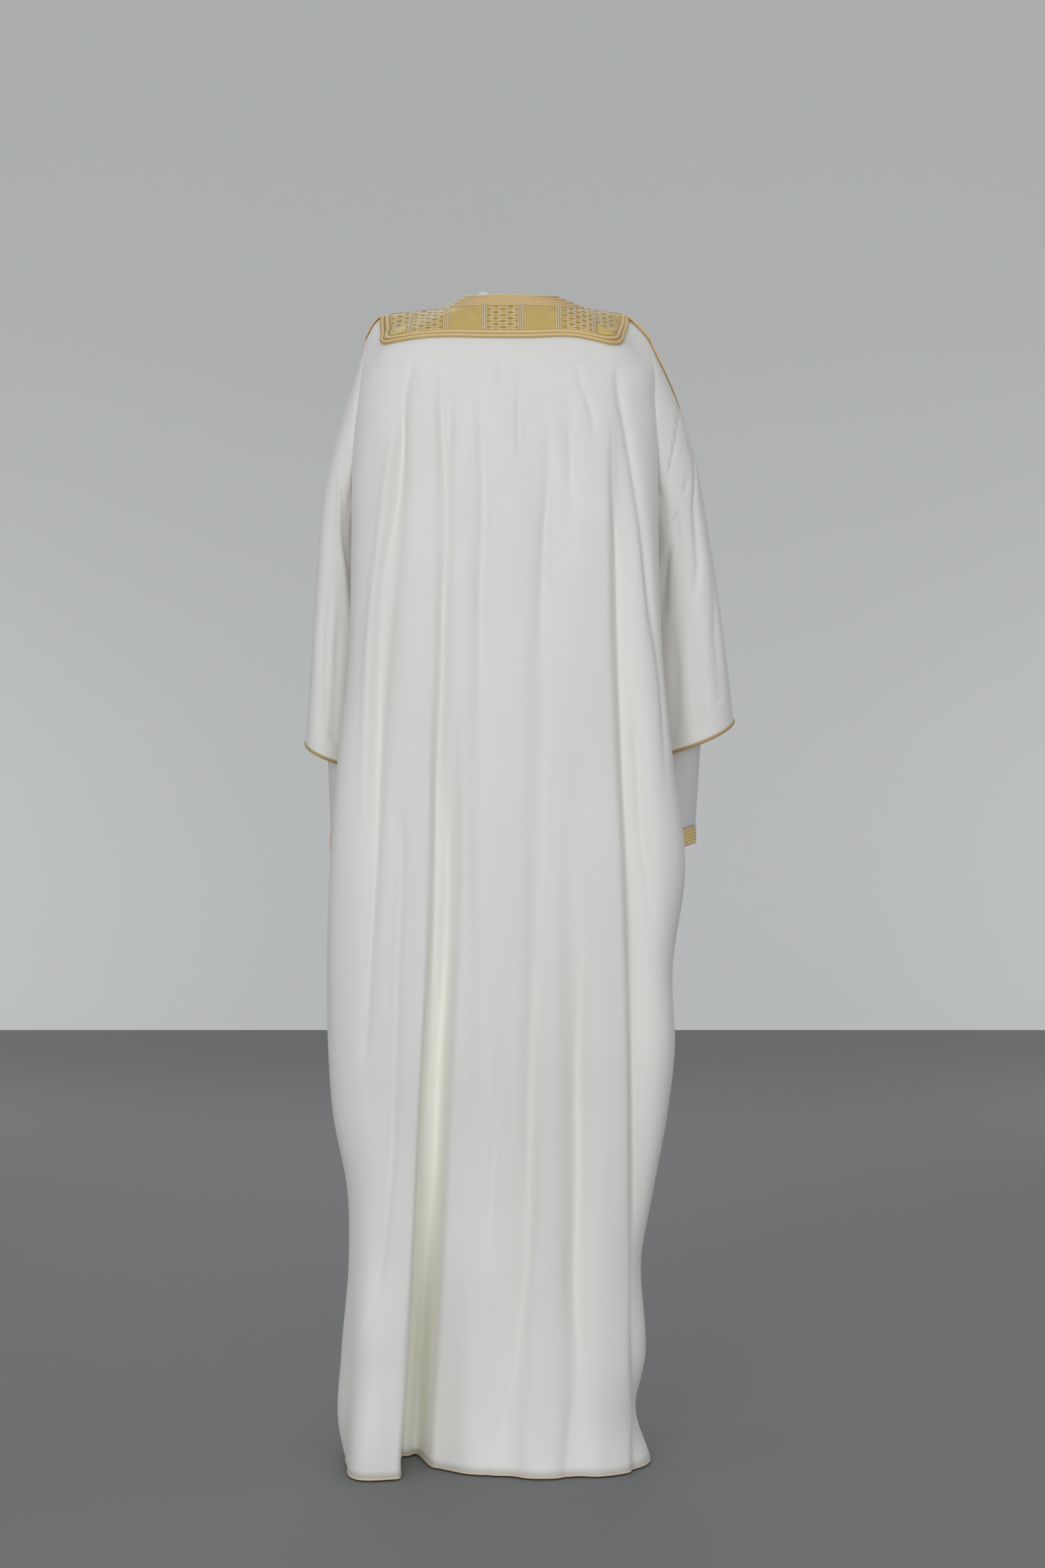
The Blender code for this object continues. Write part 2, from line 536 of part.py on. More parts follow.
def thobe_grids():
    runs = body_runs(THOBE, THOBE_TOP, THOBE_LOW)
    runs = np.sort(np.concatenate([runs, middles(THOBE_BETWEEN, THOBE)]))
    right, left = edge(THOBE, -1, "back"), edge(THOBE, 1, "back")
    seam_row = len(THOBE_TOP) + YOKE_SEAM_STEP
    above, under = runs[:seam_row + 1].copy(), runs[seam_row:].copy()
    above[-1] -= YOKE_SEAM_RUN
    under[0] += YOKE_SEAM_RUN
    back_yoke = panel_grid(THOBE, right, left, THOBE_COLUMNS, above, WIDE_PULL)
    back = panel_grid(THOBE, right, left, THOBE_COLUMNS, under, WIDE_PULL)
    left, right = edge(THOBE, 1, "front"), edge(THOBE, -1, "front")

    def right_after_left(run, with_armhole):
        return 2 * np.pi + right(run, with_armhole)

    front = panel_grid(THOBE, left, right_after_left, THOBE_COLUMNS, runs, WIDE_PULL)
    return {"thobe_back_yoke": back_yoke, "thobe_back": back, "thobe_front": front}


class Sleeve:
    """One sleeve, from its body's armhole to its hem. alpha is 0 on the outer line, 90 behind."""

    def __init__(self, body, rows, side, columns):
        self.body, self.side = body, side
        self.ovals = table(SLEEVE_COLUMNS, rows)
        self.alpha = 2 * np.pi * np.arange(columns) / columns

    def inside(self, alpha, at):
        """Points of the sleeve's inner skin."""
        alpha, at = np.broadcast_arrays(np.asarray(alpha, float), np.asarray(at, float))
        s = {k: smooth(at, self.ovals["at"], v) for k, v in self.ovals.items() if k not in ("name", "at")}
        out, behind = np.cos(alpha), np.sin(alpha)
        lean = np.where(behind > 0, s["back_lean"], -s["front_lean"]) * np.abs(behind) ** LEAN_POWER
        x = (s["outer_x"] + s["inner_x"]) / 2 + (s["outer_x"] - s["inner_x"]) / 2 * out + lean
        height = (s["outer_height"] + s["inner_height"]) / 2
        height = height + (s["outer_height"] - s["inner_height"]) / 2 * out - s["sag"] * np.abs(behind)
        oval = np.stack([self.side * x, s["middle_y"] + s["half_depth"] * behind, height], axis=-1)
        edge_points, edge_normals = self.body.armhole(self.side, alpha)
        start = edge_points + SLEEVE_GAP * edge_normals
        share = np.clip(at / SLEEVE_BLEND_TO, 0, 1)
        share = (share**2 * (3 - 2 * share))[..., None]
        return start * (1 - share) + oval * share

    def outward(self, alpha, at):
        at = np.clip(at, SLEEVE_STEP, 1 - SLEEVE_STEP)
        return -self.side * normals(self.inside, alpha, at, ANGLE_STEP, SLEEVE_STEP)

    def skin(self, alpha, at, away):
        """Points `away` outside the inner skin, and at the armhole never back into the body."""
        way = self.outward(alpha, at)
        _, body_way = self.body.armhole(self.side, alpha)
        into = np.minimum(np.sum(way * body_way, axis=-1, keepdims=True), 0)
        at_seam = (np.asarray(at) < 1e-6)[..., None]
        return self.inside(alpha, at) + away * (way - np.where(at_seam, into, 0) * body_way)


def grid_of(sleeve, rows):
    return np.broadcast_arrays(sleeve.alpha[None, :], np.asarray(rows)[:, None])


ROBE_SLEEVE_ROWS = (0, 0.05, 0.11, 0.18, 0.27, 0.38, 0.50, 0.63, 0.76, 0.89, 1)
THOBE_SLEEVE_ROWS = (0, 0.06, 0.13, 0.22, 0.34, 0.47, 0.62, 0.78, 0.90, 1)


def sleeve(name, shape, rows, thickness, material):
    at = grid_of(shape, rows)
    return wall(name, shape.skin(*at, 0), shape.skin(*at, thickness), material, closed=True)


def below(points, distance):
    return points - np.array([0, 0, distance])


def build_yoke_and_band(grids):
    """The braid band round the neck, and below it the yoke with its raised border."""
    parts = ("robe_front_right", "robe_back", "robe_front_left")
    thetas = np.concatenate([grids[part][0][:TOP_ROWS] for part in parts], axis=1)
    runs = np.concatenate([grids[part][1][:TOP_ROWS] for part in parts], axis=1)
    points, ways = ROBE.points(thetas, runs), ROBE.normals(thetas, runs)

    laid_on = (("neck_band", BAND_LINES, "gold_braid"), ("yoke", YOKE_LINES, "gold_weave"))
    for name, lines, material in laid_on:
        laid = table(LAID_COLUMNS, lines)
        share = laid["share"][:, None, None]
        point = points[laid["row"]] * (1 - share) + points[laid["row"] + 1] * share
        way = ways[laid["row"]] * (1 - share) + ways[laid["row"] + 1] * share
        inner = point + LAY_GAP * way
        wall(name, inner, inner + laid["thickness"][:, None, None] * way, material)


def build_hem_piping(grids):
    """Cords under the floor hem, and up the front edges to the yoke."""
    drop = HEM_CORD_RADIUS + SEAM_GAP

    def middle_of_wall(name, row, column):
        theta, run = grids[name][0][row, column], grids[name][1][row, column]
        return ROBE.points(theta, run) - ROBE_WALL / 2 * ROBE.normals(theta, run)

    back = below(middle_of_wall("robe_back", -1, slice(None)), drop)
    cord("hem_piping_back", back, HEM_CORD_RADIUS, "peach_piping")
    for side in SIDES:
        name = "robe_front_" + side
        hem = below(middle_of_wall(name, -1, slice(None)), drop)
        if side == "right":
            hem = hem[::-1]
        ends = (-1, -2) if side == "left" else (0, 1)
        last, before = (middle_of_wall(name, slice(None), column) for column in ends)
        away = last - before
        away[:, 2] = 0
        away /= np.linalg.norm(away, axis=-1, keepdims=True)
        front = last + drop * away
        corner = below(front[-1] + CORNER_OUT * drop * away[-1], CORNER_DOWN * drop)
        up = front[TOP_ROWS:-1][::-1]
        route = np.concatenate([hem[:-1], [below(last[-1], drop)], [corner], up])
        cord("hem_piping_front_" + side, route, HEM_CORD_RADIUS, "peach_piping")


def build_sleeve_trim(side_name, shape):
    """Piping round a robe sleeve's hem, and the gold cord down its outer line."""
    side = shape.side
    hem = shape.skin(shape.alpha, np.ones_like(shape.alpha), ROBE_WALL / 2)
    under = below(hem, SLEEVE_CORD_RADIUS + 2 * SEAM_GAP)
    cord("sleeve_piping_" + side_name, under, SLEEVE_CORD_RADIUS, "ochre_piping", closed=True)
    rows = np.array(ROBE_SLEEVE_ROWS[1:OVERARM_CORD_ROWS + 1])
    away = ROBE_WALL + SEAM_GAP + OVERARM_CORD_RADIUS
    arm = shape.skin(np.zeros_like(rows), rows, away)
    yoke_run, shoulder_run = run_of(ROBE.rings, "yoke"), run_of(ROBE.rings, "shoulder")
    start_runs = yoke_run + (shoulder_run - yoke_run) * np.array([OVERARM_CORD_START, 1.0])
    theta = np.full(2, side * math.pi / 2)
    clear = away + SLEEVE_GAP + CORD_LIFT
    start = ROBE.points(theta, start_runs) + clear * ROBE.normals(theta, start_runs)
    cord("overarm_cord_" + side_name, np.concatenate([start, arm]), OVERARM_CORD_RADIUS, "gold_braid")


def build_cuff(side_name, shape):
    """The ribbed gold band below the inner sleeve's end."""
    end = shape.skin(shape.alpha, np.ones_like(shape.alpha), 0)
    way = shape.outward(shape.alpha, np.ones_like(shape.alpha))
    way[:, 2] = 0
    way /= np.linalg.norm(way, axis=-1, keepdims=True)
    lines = table(CUFF_COLUMNS, CUFF_LINES)
    inner = np.array([below(end, 2 * SEAM_GAP + share * CUFF_HEIGHT) for share in lines["share"]])
    outer = inner + lines["thickness"][:, None, None] * way
    wall("cuff_" + side_name, inner, outer, "gold_braid", closed=True)


def build_collar(grids):
    """A low stand collar on the thobe's neck, open at the front."""
    back, front = grids["thobe_back_yoke"][0][0], grids["thobe_front"][0][0]
    middle, gap = THOBE_COLUMNS // 2, np.radians(COLLAR_OPENING_DEG)
    left, right = front[:middle], front[middle + 1:] - 2 * np.pi
    thetas = np.concatenate([[gap - np.pi], right, back, left, [np.pi - gap]])
    base = THOBE.points(thetas, np.zeros_like(thetas))
    out = base * np.array([1, 1, 0])
    out /= np.linalg.norm(out, axis=-1, keepdims=True)
    base = base - THOBE_WALL * out
    up = np.array([0, 0, COLLAR_HEIGHT])
    seat = below(base, -2 * SEAM_GAP)
    inner = np.array([seat + share * (up - COLLAR_LEAN * out) for share in COLLAR_LINES])
    wall("thobe_collar", inner, inner + THOBE_WALL * out, "ivory_inner")


def build_placket(grids):
    """A strip down the middle of the thobe's front, with its buttons."""
    theta, run = grids["thobe_front"]
    middle = THOBE_COLUMNS // 2
    rows, columns = slice(0, PLACKET_ROWS + 1), slice(middle - 1, middle + 2)
    points = THOBE.points(theta[rows, columns], run[rows, columns])
    way = THOBE.normals(theta[rows, columns], run[rows, columns])
    for grid in (points, way):
        for side in (0, 2):
            grid[:, side] = grid[:, 1] * (1 - PLACKET_SHARE) + grid[:, side] * PLACKET_SHARE
    inner = points + LAY_GAP * way
    wall("placket", inner, inner + THOBE_WALL * way, "ivory_inner")
    line = inner[:, 1]
    for number, height in enumerate(BUTTON_HEIGHTS, 1):
        place = np.array([np.interp(-height, -line[:, 2], line[:, k]) for k in range(3)])
        forward = np.array([np.interp(-height, -line[:, 2], way[:, 1][:, k]) for k in range(3)])
        forward /= np.linalg.norm(forward)
        centre = place + (THOBE_WALL + 2 * LAY_GAP + BUTTON_THICKNESS / 2) * forward
        build_button(f"button_{number}", to_part(centre), forward)


def build_button(name, centre, forward):
    """A plain round button with a softened rim, facing forward."""
    bm = bmesh.new()
    size = dict(radius1=BUTTON_RADIUS, radius2=BUTTON_RADIUS, depth=BUTTON_THICKNESS)
    bmesh.ops.create_cone(bm, cap_ends=True, segments=BUTTON_SIDES, **size)
    rims = [e for e in bm.edges if e.verts[0].co.z * e.verts[1].co.z > 0]
    soft = BUTTON_THICKNESS * BUTTON_SOFTENING
    bmesh.ops.bevel(bm, geom=rims, offset=soft, segments=1, profile=0.5, affect="EDGES", material=-1)
    mesh = bpy.data.meshes.new(name)
    bm.to_mesh(mesh)
    bm.free()
    obj = add_object(name, mesh, "pearl_button")
    tilt = math.atan2(forward[2], -forward[1])
    obj.location = centre
    obj.rotation_euler = (math.pi / 2 - tilt, 0, 0)


def build():
    for old in list(bpy.data.objects):
        bpy.data.objects.remove(old, do_unlink=True)
    robe, thobe = robe_grids(), thobe_grids()
    for name, grid in robe.items():
        panel(name, ROBE, grid, ROBE_WALL, "ivory_crepe")
    for name, grid in thobe.items():
        panel(name, THOBE, grid, THOBE_WALL, "ivory_inner")
    build_yoke_and_band(robe)
    build_hem_piping(robe)
    build_collar(thobe)
    build_placket(thobe)
    for name, side in SIDES.items():
        outer = Sleeve(ROBE, ROBE_SLEEVES[name], side, 2 * ROBE_ARMHOLE_STEPS)
        inner = Sleeve(THOBE, THOBE_SLEEVES[name], side, 2 * THOBE_ARMHOLE_STEPS)
        sleeve("robe_sleeve_" + name, outer, ROBE_SLEEVE_ROWS, ROBE_WALL, "ivory_crepe")
        sleeve("thobe_sleeve_" + name, inner, THOBE_SLEEVE_ROWS, THOBE_WALL, "ivory_inner")
        build_sleeve_trim(name, outer)
        build_cuff(name, inner)


build()
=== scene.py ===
# %% [markdown]
# # A two-piece thobe set, worn
# The set is an open outer robe of ivory crepe with a woven gold yoke, over a plain inner
# thobe with gold cuffs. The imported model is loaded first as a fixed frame, because every
# piece here takes its place and size from it. Metres, +Z up, and the garment's back is at +Y.

# %% Load the frame
import math

import bmesh
import bpy
import numpy as np
from mathutils import Matrix, Vector


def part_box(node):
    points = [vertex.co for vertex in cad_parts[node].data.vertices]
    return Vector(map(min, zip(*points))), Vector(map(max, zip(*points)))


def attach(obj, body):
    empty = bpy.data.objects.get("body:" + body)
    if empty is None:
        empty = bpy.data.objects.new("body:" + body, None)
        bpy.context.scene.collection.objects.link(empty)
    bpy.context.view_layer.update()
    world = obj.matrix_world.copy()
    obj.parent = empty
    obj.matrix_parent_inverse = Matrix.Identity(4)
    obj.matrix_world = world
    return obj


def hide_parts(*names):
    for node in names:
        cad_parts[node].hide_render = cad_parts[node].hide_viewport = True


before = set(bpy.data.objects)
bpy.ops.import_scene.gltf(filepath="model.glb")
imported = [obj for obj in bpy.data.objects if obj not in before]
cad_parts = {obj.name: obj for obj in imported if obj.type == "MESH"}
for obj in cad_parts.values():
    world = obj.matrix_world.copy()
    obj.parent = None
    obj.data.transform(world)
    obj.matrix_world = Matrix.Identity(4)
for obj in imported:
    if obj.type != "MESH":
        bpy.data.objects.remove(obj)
scene = bpy.context.scene
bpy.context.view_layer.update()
FLOOR = -1.55

# %% [markdown]
# ## Camera
# A long garment is photographed level, from near its middle's height, so that its length isn't
# foreshortened. One focal length and one distance, both worked out from the hem and the
# shoulders, give every other place on the picture, and `pixel_x` and `pixel_height` turn a
# spot on the picture into metres at a given depth.

# %% Camera
CAMERA_AWAY, CAMERA_X, CAMERA_HEIGHT = 3.5, -0.0245, 0.91
SENSOR_MM, LENS_MM = 36, 58.97
MIDDLE_X, MIDDLE_Y = 757, 1176
PIXELS_PER_METRE = 1101

camera = bpy.data.objects.new("camera", bpy.data.cameras.new("camera"))
camera.data.sensor_width = SENSOR_MM
camera.data.lens = LENS_MM
camera.location = (CAMERA_X, CAMERA_AWAY, FLOOR + CAMERA_HEIGHT)
camera.rotation_euler = (math.pi / 2, 0, math.pi)
camera.data.clip_end = 60
scene.collection.objects.link(camera)
scene.camera = camera


def pixel_x(px, depth):
    return -(px - MIDDLE_X) / PIXELS_PER_METRE * (CAMERA_AWAY - depth) / CAMERA_AWAY


def pixel_height(py, depth):
    return CAMERA_HEIGHT + (MIDDLE_Y - py) / PIXELS_PER_METRE * (CAMERA_AWAY - depth) / CAMERA_AWAY


print("camera", tuple(round(c, 3) for c in camera.location))

# %% [markdown]
# ## The garment's surfaces
# A robe that keeps its worn form is a stack of rings: a table gives each ring's half widths, its
# ends along Y and its heights, and a smooth curve runs through each column. Sculpting could
# give the same form, but the table keeps each size by name, and the cloth, the braid and the
# stitches can all be laid on the one surface. These are the sizes of the solid model.

# %% Tables of rings
SECTION_COLUMNS = (
    "name left right wide back front back_height side_height front_height "
    "back_power front_power back_fall front_fall seam open"
)
HEM_HEIGHT = 0.0048
ROBE_SECTIONS = (
    ("neck", 0.050, 0.068, 0.002, 0.072, -0.062, 1.562, 1.574, 1.515, 0.80, 1.00, 1.5, 1.5, 90, 36),
    ("band", 0.079, 0.106, 0.002, 0.092, -0.092, 1.545, 1.558, 1.478, 0.70, 0.95, 2.5, 1.8, 90, 30),
    ("yoke_middle", 0.125, 0.140, 0.002, 0.110, -0.116, 1.524, 1.551, 1.440, 0.58, 0.85, 4.0, 2.0, 90, 26),
    ("yoke", 0.168, 0.169, 0.002, 0.126, -0.136, 1.499, 1.543, 1.402, 0.50, 0.80, 6.0, 2.0, 90, 24),
    ("shoulder", 0.186, 0.196, 0.002, 0.138, -0.148, 1.462, 1.519, 1.370, 0.52, 0.80, 4.5, 2.0, 90, 24),
    ("chest_top", 0.200, 0.206, 0.020, 0.150, -0.155, 1.400, 1.440, 1.330, 0.58, 0.90, 3.0, 1.8, 95, 24),
    ("chest", 0.204, 0.207, 0.045, 0.156, -0.158, 1.330, 1.350, 1.280, 0.65, 1.10, 2.0, 1.5, 104, 25),
    ("underarm", 0.204, 0.206, 0.062, 0.158, -0.161, 1.255, 1.255, 1.240, 0.68, 1.35, 1.5, 1.5, 114, 26),
    ("waist", 0.209, 0.213, 0.068, 0.152, -0.165, 1.060, 1.060, 1.060, 0.70, 1.50, 1.0, 1.0, 116, 26),
    ("high_hip", 0.223, 0.2265, 0.064, 0.147, -0.163, 0.934, 0.934, 0.934, 0.70, 1.50, 1.0, 1.0, 115, 25),
    ("hip", 0.2335, 0.2425, 0.056, 0.142, -0.160, 0.800, 0.800, 0.800, 0.70, 1.42, 1.0, 1.0, 112, 24),
    ("thigh", 0.238, 0.226, 0.046, 0.135, -0.158, 0.660, 0.660, 0.660, 0.70, 1.15, 1.0, 1.0, 109, 24),
    ("low_thigh", 0.2365, 0.229, 0.040, 0.130, -0.156, 0.550, 0.550, 0.550, 0.70, 0.98, 1.0, 1.0, 107, 24),
    ("knee", 0.231, 0.220, 0.036, 0.125, -0.155, 0.470, 0.470, 0.470, 0.70, 0.90, 1.0, 1.0, 106, 24),
    ("high_calf", 0.211, 0.2005, 0.034, 0.121, -0.155, 0.360, 0.360, 0.360, 0.70, 0.88, 1.0, 1.0, 105, 24),
    ("calf", 0.2095, 0.187, 0.034, 0.121, -0.157, 0.270, 0.270, 0.270, 0.70, 0.86, 1.0, 1.0, 105, 25),
    ("low_calf", 0.2195, 0.1915, 0.034, 0.125, -0.160, 0.145, 0.145, 0.145, 0.70, 0.85, 1.0, 1.0, 105, 26),
    ("ankle", 0.223, 0.181, 0.035, 0.136, -0.164, 0.050, 0.050, 0.050, 0.70, 0.85, 1.0, 1.0, 105, 27),
    ("hem", 0.213, 0.196, 0.035, 0.146, -0.166, *3 * (HEM_HEIGHT,), 0.70, 0.85, 1.0, 1.0, 105, 27),
)
THOBE_SECTIONS = (
    ("neck", 0.050, 0.062, 0.000, 0.062, -0.058, 1.530, 1.537, 1.485, 0.80, 1.00, 1.5, 1.5, 90, 0),
    ("shoulder_middle", 0.108, 0.116, 0.000, 0.096, -0.092, 1.498, 1.526, 1.430, 0.65, 0.90, 3.0, 2.0, 90, 0),
    ("shoulder", 0.156, 0.162, 0.000, 0.110, -0.106, 1.440, 1.494, 1.370, 0.60, 0.90, 3.0, 2.0, 90, 0),
    ("chest", 0.160, 0.163, 0.006, 0.116, -0.111, 1.370, 1.405, 1.320, 0.65, 0.95, 2.0, 1.6, 92, 0),
    ("underarm", 0.158, 0.161, 0.008, 0.117, -0.113, 1.305, 1.315, 1.285, 0.70, 1.00, 1.5, 1.5, 94, 0),
    ("waist", 0.148, 0.152, 0.000, 0.106, -0.114, 1.060, 1.060, 1.060, 0.75, 1.00, 1.0, 1.0, 92, 0),
    ("hip", 0.152, 0.156, -0.010, 0.096, -0.114, 0.850, 0.850, 0.850, 0.75, 0.95, 1.0, 1.0, 90, 0),
    ("thigh", 0.160, 0.158, -0.020, 0.070, -0.116, 0.600, 0.600, 0.600, 0.75, 0.90, 1.0, 1.0, 90, 0),
    ("knee", 0.158, 0.148, -0.030, 0.040, -0.120, 0.350, 0.350, 0.350, 0.75, 0.85, 1.0, 1.0, 90, 0),
    ("hem", 0.156, 0.142, -0.040, 0.012, -0.126, 0.030, 0.030, 0.030, 0.75, 0.85, 1.0, 1.0, 90, 0),
)
print("rings:", len(ROBE_SECTIONS), "of the robe,", len(THOBE_SECTIONS), "of the thobe")

# %% Tables of the large folds
# Where each trough runs at three heights and how deep it is there, then its reach. The deep
# trough has one steep wall and one rounded shoulder, which its own row adds.
FOLD_COLUMNS = (
    "name start high_height high_x high_depth middle_height middle_x middle_depth "
    "low_height low_x low_depth inner outer flat"
)
LARGE_FOLDS = (
    ("left_from_yoke", 1.50, 1.30, 0.138, 0.007, 1.00, 0.164, 0.010, 0.60, 0.180, 0.000, 0.012, 0.016, 2),
    ("left_crease", 1.50, 1.33, 0.079, 0.004, 1.06, 0.080, 0.005, 0.85, 0.088, 0.000, 0.010, 0.008, 2),
    ("deep_trough", 1.05, 0.80, 0.080, 0.014, 0.50, 0.094, 0.036, 0.02, 0.116, 0.112, 0.020, 0.014, 5),
    ("trough_shoulder", 0.85, 0.60, 0.074, 0.004, 0.30, 0.084, 0.018, 0.02, 0.092, 0.055, 0.044, 0.012, 2),
    ("left_of_middle", 1.46, 1.25, 0.027, 0.004, 0.87, 0.027, 0.005, 0.20, 0.026, 0.006, 0.018, 0.018, 2),
    ("right_of_middle", 1.40, 1.10, -0.054, 0.007, 0.76, -0.046, 0.009, 0.04, -0.010, 0.008, 0.018, 0.020, 2),
    ("right_short", 1.45, 1.36, -0.086, 0.004, 1.28, -0.088, 0.003, 1.15, -0.088, 0.000, 0.012, 0.012, 2),
    ("right_low", 0.98, 0.72, -0.089, 0.008, 0.45, -0.098, 0.011, 0.04, -0.098, 0.009, 0.018, 0.018, 2),
    ("right_set_back", 1.46, 1.15, -0.152, 0.014, 0.66, -0.1745, 0.016, 0.10, -0.176, 0.008, 0.009, 0.032, 2),
    ("left_hem_swell", 0.50, 0.30, 0.170, -0.008, 0.15, 0.172, -0.020, 0.02, 0.172, -0.035, 0.034, 0.034, 2),
)
print("large folds:", len(LARGE_FOLDS))

# %% Tables of the sleeves
# The last five columns are in two groups: those of the left sleeve, then those of the right
SLEEVE_COLUMNS = (
    "name at middle_y back_lean front_lean sag outer_x outer_height inner_x inner_height half_depth"
)
ROBE_SLEEVES = (
    ("armhole", 0.00, -0.004, 0.030, -0.008, 0.000,
     (0.188, 1.519, 0.189, 1.262, 0.078), (0.198, 1.519, 0.190, 1.262, 0.078)),
    ("upper", 0.16, -0.012, 0.030, -0.003, 0.000,
     (0.209, 1.420, 0.190, 1.235, 0.078), (0.234, 1.430, 0.192, 1.235, 0.078)),
    ("above_elbow", 0.36, -0.030, 0.028, 0.012, 0.000,
     (0.236, 1.305, 0.186, 1.175, 0.076), (0.262, 1.310, 0.191, 1.175, 0.076)),
    ("elbow", 0.54, -0.044, 0.028, 0.018, 0.000,
     (0.248, 1.205, 0.180, 1.105, 0.076), (0.282, 1.205, 0.188, 1.110, 0.077)),
    ("forearm", 0.76, -0.058, 0.030, 0.022, 0.001,
     (0.256, 1.095, 0.175, 1.022, 0.081), (0.297, 1.105, 0.185, 1.035, 0.083)),
    ("hem", 1.00, -0.074, 0.030, 0.024, 0.002,
     (0.267, 0.974, 0.172, 0.928, 0.088), (0.311, 1.003, 0.184, 0.945, 0.092)),
)
THOBE_SLEEVES = (
    ("armhole", 0.00, -0.002, 0.006, 0.000, 0.000,
     (0.158, 1.494, 0.160, 1.330, 0.060), (0.164, 1.494, 0.163, 1.330, 0.060)),
    ("upper", 0.14, -0.008, 0.009, 0.002, 0.000,
     (0.188, 1.436, 0.188, 1.318, 0.055), (0.203, 1.440, 0.191, 1.318, 0.055)),
    ("above_elbow", 0.30, -0.026, 0.011, 0.006, 0.000,
     (0.221, 1.320, 0.200, 1.255, 0.048), (0.242, 1.320, 0.205, 1.255, 0.048)),
    ("elbow", 0.46, -0.042, 0.013, 0.010, 0.000,
     (0.235, 1.205, 0.195, 1.130, 0.046), (0.262, 1.205, 0.203, 1.130, 0.046)),
    ("forearm", 0.66, -0.058, 0.013, 0.010, 0.000,
     (0.241, 1.080, 0.190, 1.030, 0.044), (0.272, 1.080, 0.201, 1.030, 0.044)),
    ("wrist", 0.86, -0.076, 0.009, 0.006, 0.000,
     (0.244, 0.940, 0.183, 0.920, 0.040), (0.269, 0.940, 0.196, 0.925, 0.040)),
    ("cuff", 1.00, -0.092, 0.000, 0.000, 0.000,
     (0.2425, 0.840, 0.170, 0.830, 0.034), (0.265, 0.852, 0.192, 0.830, 0.034)),
)
SIDES = {"left": 1.0, "right": -1.0}
print("sleeve ovals:", len(ROBE_SLEEVES), "and", len(THOBE_SLEEVES))

# %% [markdown]
# ## Small folds
# Crepe hangs from the yoke in long soft folds that start and end at different heights. Each
# is a line read off the picture, with how far the cloth goes in along it, in millimetres; a
# minus is a ridge. A simulation would make folds too, but not these ones. The front isn't
# seen, so it gets a few of the same kind, by x and height.

# %% Tables of the small folds
# name, reach towards the middle and away from it in mm, sharpness, then (px, py, depth in mm)
BACK_FOLDS = (
    ("a", 9, 6, 1.6, (625, 520, 0), (612, 565, 4), (600, 680, 5), (598, 730, 5), (590, 780, 4), (575, 850, 4),
     (565, 1000, 4), (565, 1150, 3), (562, 1280, 4), (555, 1400, 5), (547, 1550, 4), (540, 1625, 0)),
    ("a_ridge", 9, 9, 2, (600, 600, 0), (585, 690, -3), (572, 800, -3), (555, 950, -3), (548, 1150, -3),
     (545, 1300, 0)),
    ("b", 5, 5, 1.6, (607, 600, 0), (604, 660, 3), (602, 725, 0)),
    ("c", 9, 6, 1.6, (665, 530, 0), (662, 630, 4), (670, 725, 4), (672, 810, 3), (665, 900, 4),
     (662, 1000, 4), (655, 1200, 4), (647, 1400, 4), (640, 1625, 0)),
    ("d", 5, 6, 1.6, (680, 560, 0), (678, 640, 3), (675, 735, 0)),
    ("e", 8, 8, 1.8, (720, 560, 0), (725, 680, 4), (727, 750, 3), (722, 890, 3), (722, 1150, 0)),
    ("f", 6, 6, 1.6, (780, 530, 0), (780, 640, 4), (782, 730, 0)),
    ("f_short", 5, 5, 1.6, (755, 520, 0), (752, 560, 3), (750, 605, 0)),
    ("g", 7, 8, 1.7, (820, 620, 0), (825, 700, 3), (820, 780, 4), (815, 850, 3), (810, 1020, 0)),
    ("h", 5, 6, 1.6, (855, 620, 0), (858, 690, 3), (860, 760, 0)),
    ("i", 6, 6, 1.6, (862, 530, 0), (877, 585, 4), (887, 610, 4), (892, 670, 0)),
    ("j", 7, 9, 1.7, (927, 530, 0), (930, 585, 4), (942, 640, 5), (955, 710, 4), (972, 825, 4),
     (982, 1020, 0)),
    ("j_low", 8, 9, 1.8, (955, 1000, 0), (965, 1150, 4), (970, 1250, 4), (980, 1325, 4), (990, 1420, 0)),
    ("k", 5, 4, 1.5, (920, 600, 0), (922, 750, 3), (930, 850, 4), (935, 1020, 4), (937, 1150, 5),
     (942, 1280, 5), (950, 1500, 6), (957, 1730, 6), (961, 1855, 5), (960, 1930, 4), (950, 2090, 0)),
    ("l", 7, 8, 1.8, (960, 725, 0), (985, 940, 4), (995, 1020, 4), (1005, 1225, 0)),
    ("m", 9, 9, 1.8, (602, 1180, 0), (602, 1280, 4), (595, 1450, 5), (592, 1550, 5), (585, 1755, 5),
     (575, 1880, 4), (560, 2030, 0)),
    ("n", 7, 9, 1.8, (672, 1120, 0), (675, 1320, 5), (670, 1500, 6), (662, 1625, 4), (655, 1780, 0)),
    ("overlap", 3, 5, 1.4, (640, 1590, 0), (635, 1655, 4), (630, 1780, 7), (622, 1930, 7), (612, 2055, 5),
     (605, 2170, 0)),
    ("middle_low", 9, 9, 2, (758, 1430, 0), (750, 1640, 3), (742, 1755, 4), (735, 1960, 0)),
    ("right_middle_low", 9, 9, 1.8, (800, 1400, 0), (797, 1640, 3), (797, 1755, 4), (795, 1880, 4),
     (782, 2005, 3), (775, 2120, 0)),
    ("dark_band", 14, 12, 2, (884, 1260, 0), (878, 1450, 5), (870, 1630, 6), (870, 1780, 6), (865, 1930, 5),
     (875, 2090, 0)),
    ("hem_crease", 9, 7, 1.6, (775, 2040, 0), (762, 2110, 2), (745, 2170, 3), (735, 2200, 2)),
    ("hem_crease_right", 9, 8, 1.6, (862, 2080, 0), (858, 2130, 2), (850, 2200, 3)),
)
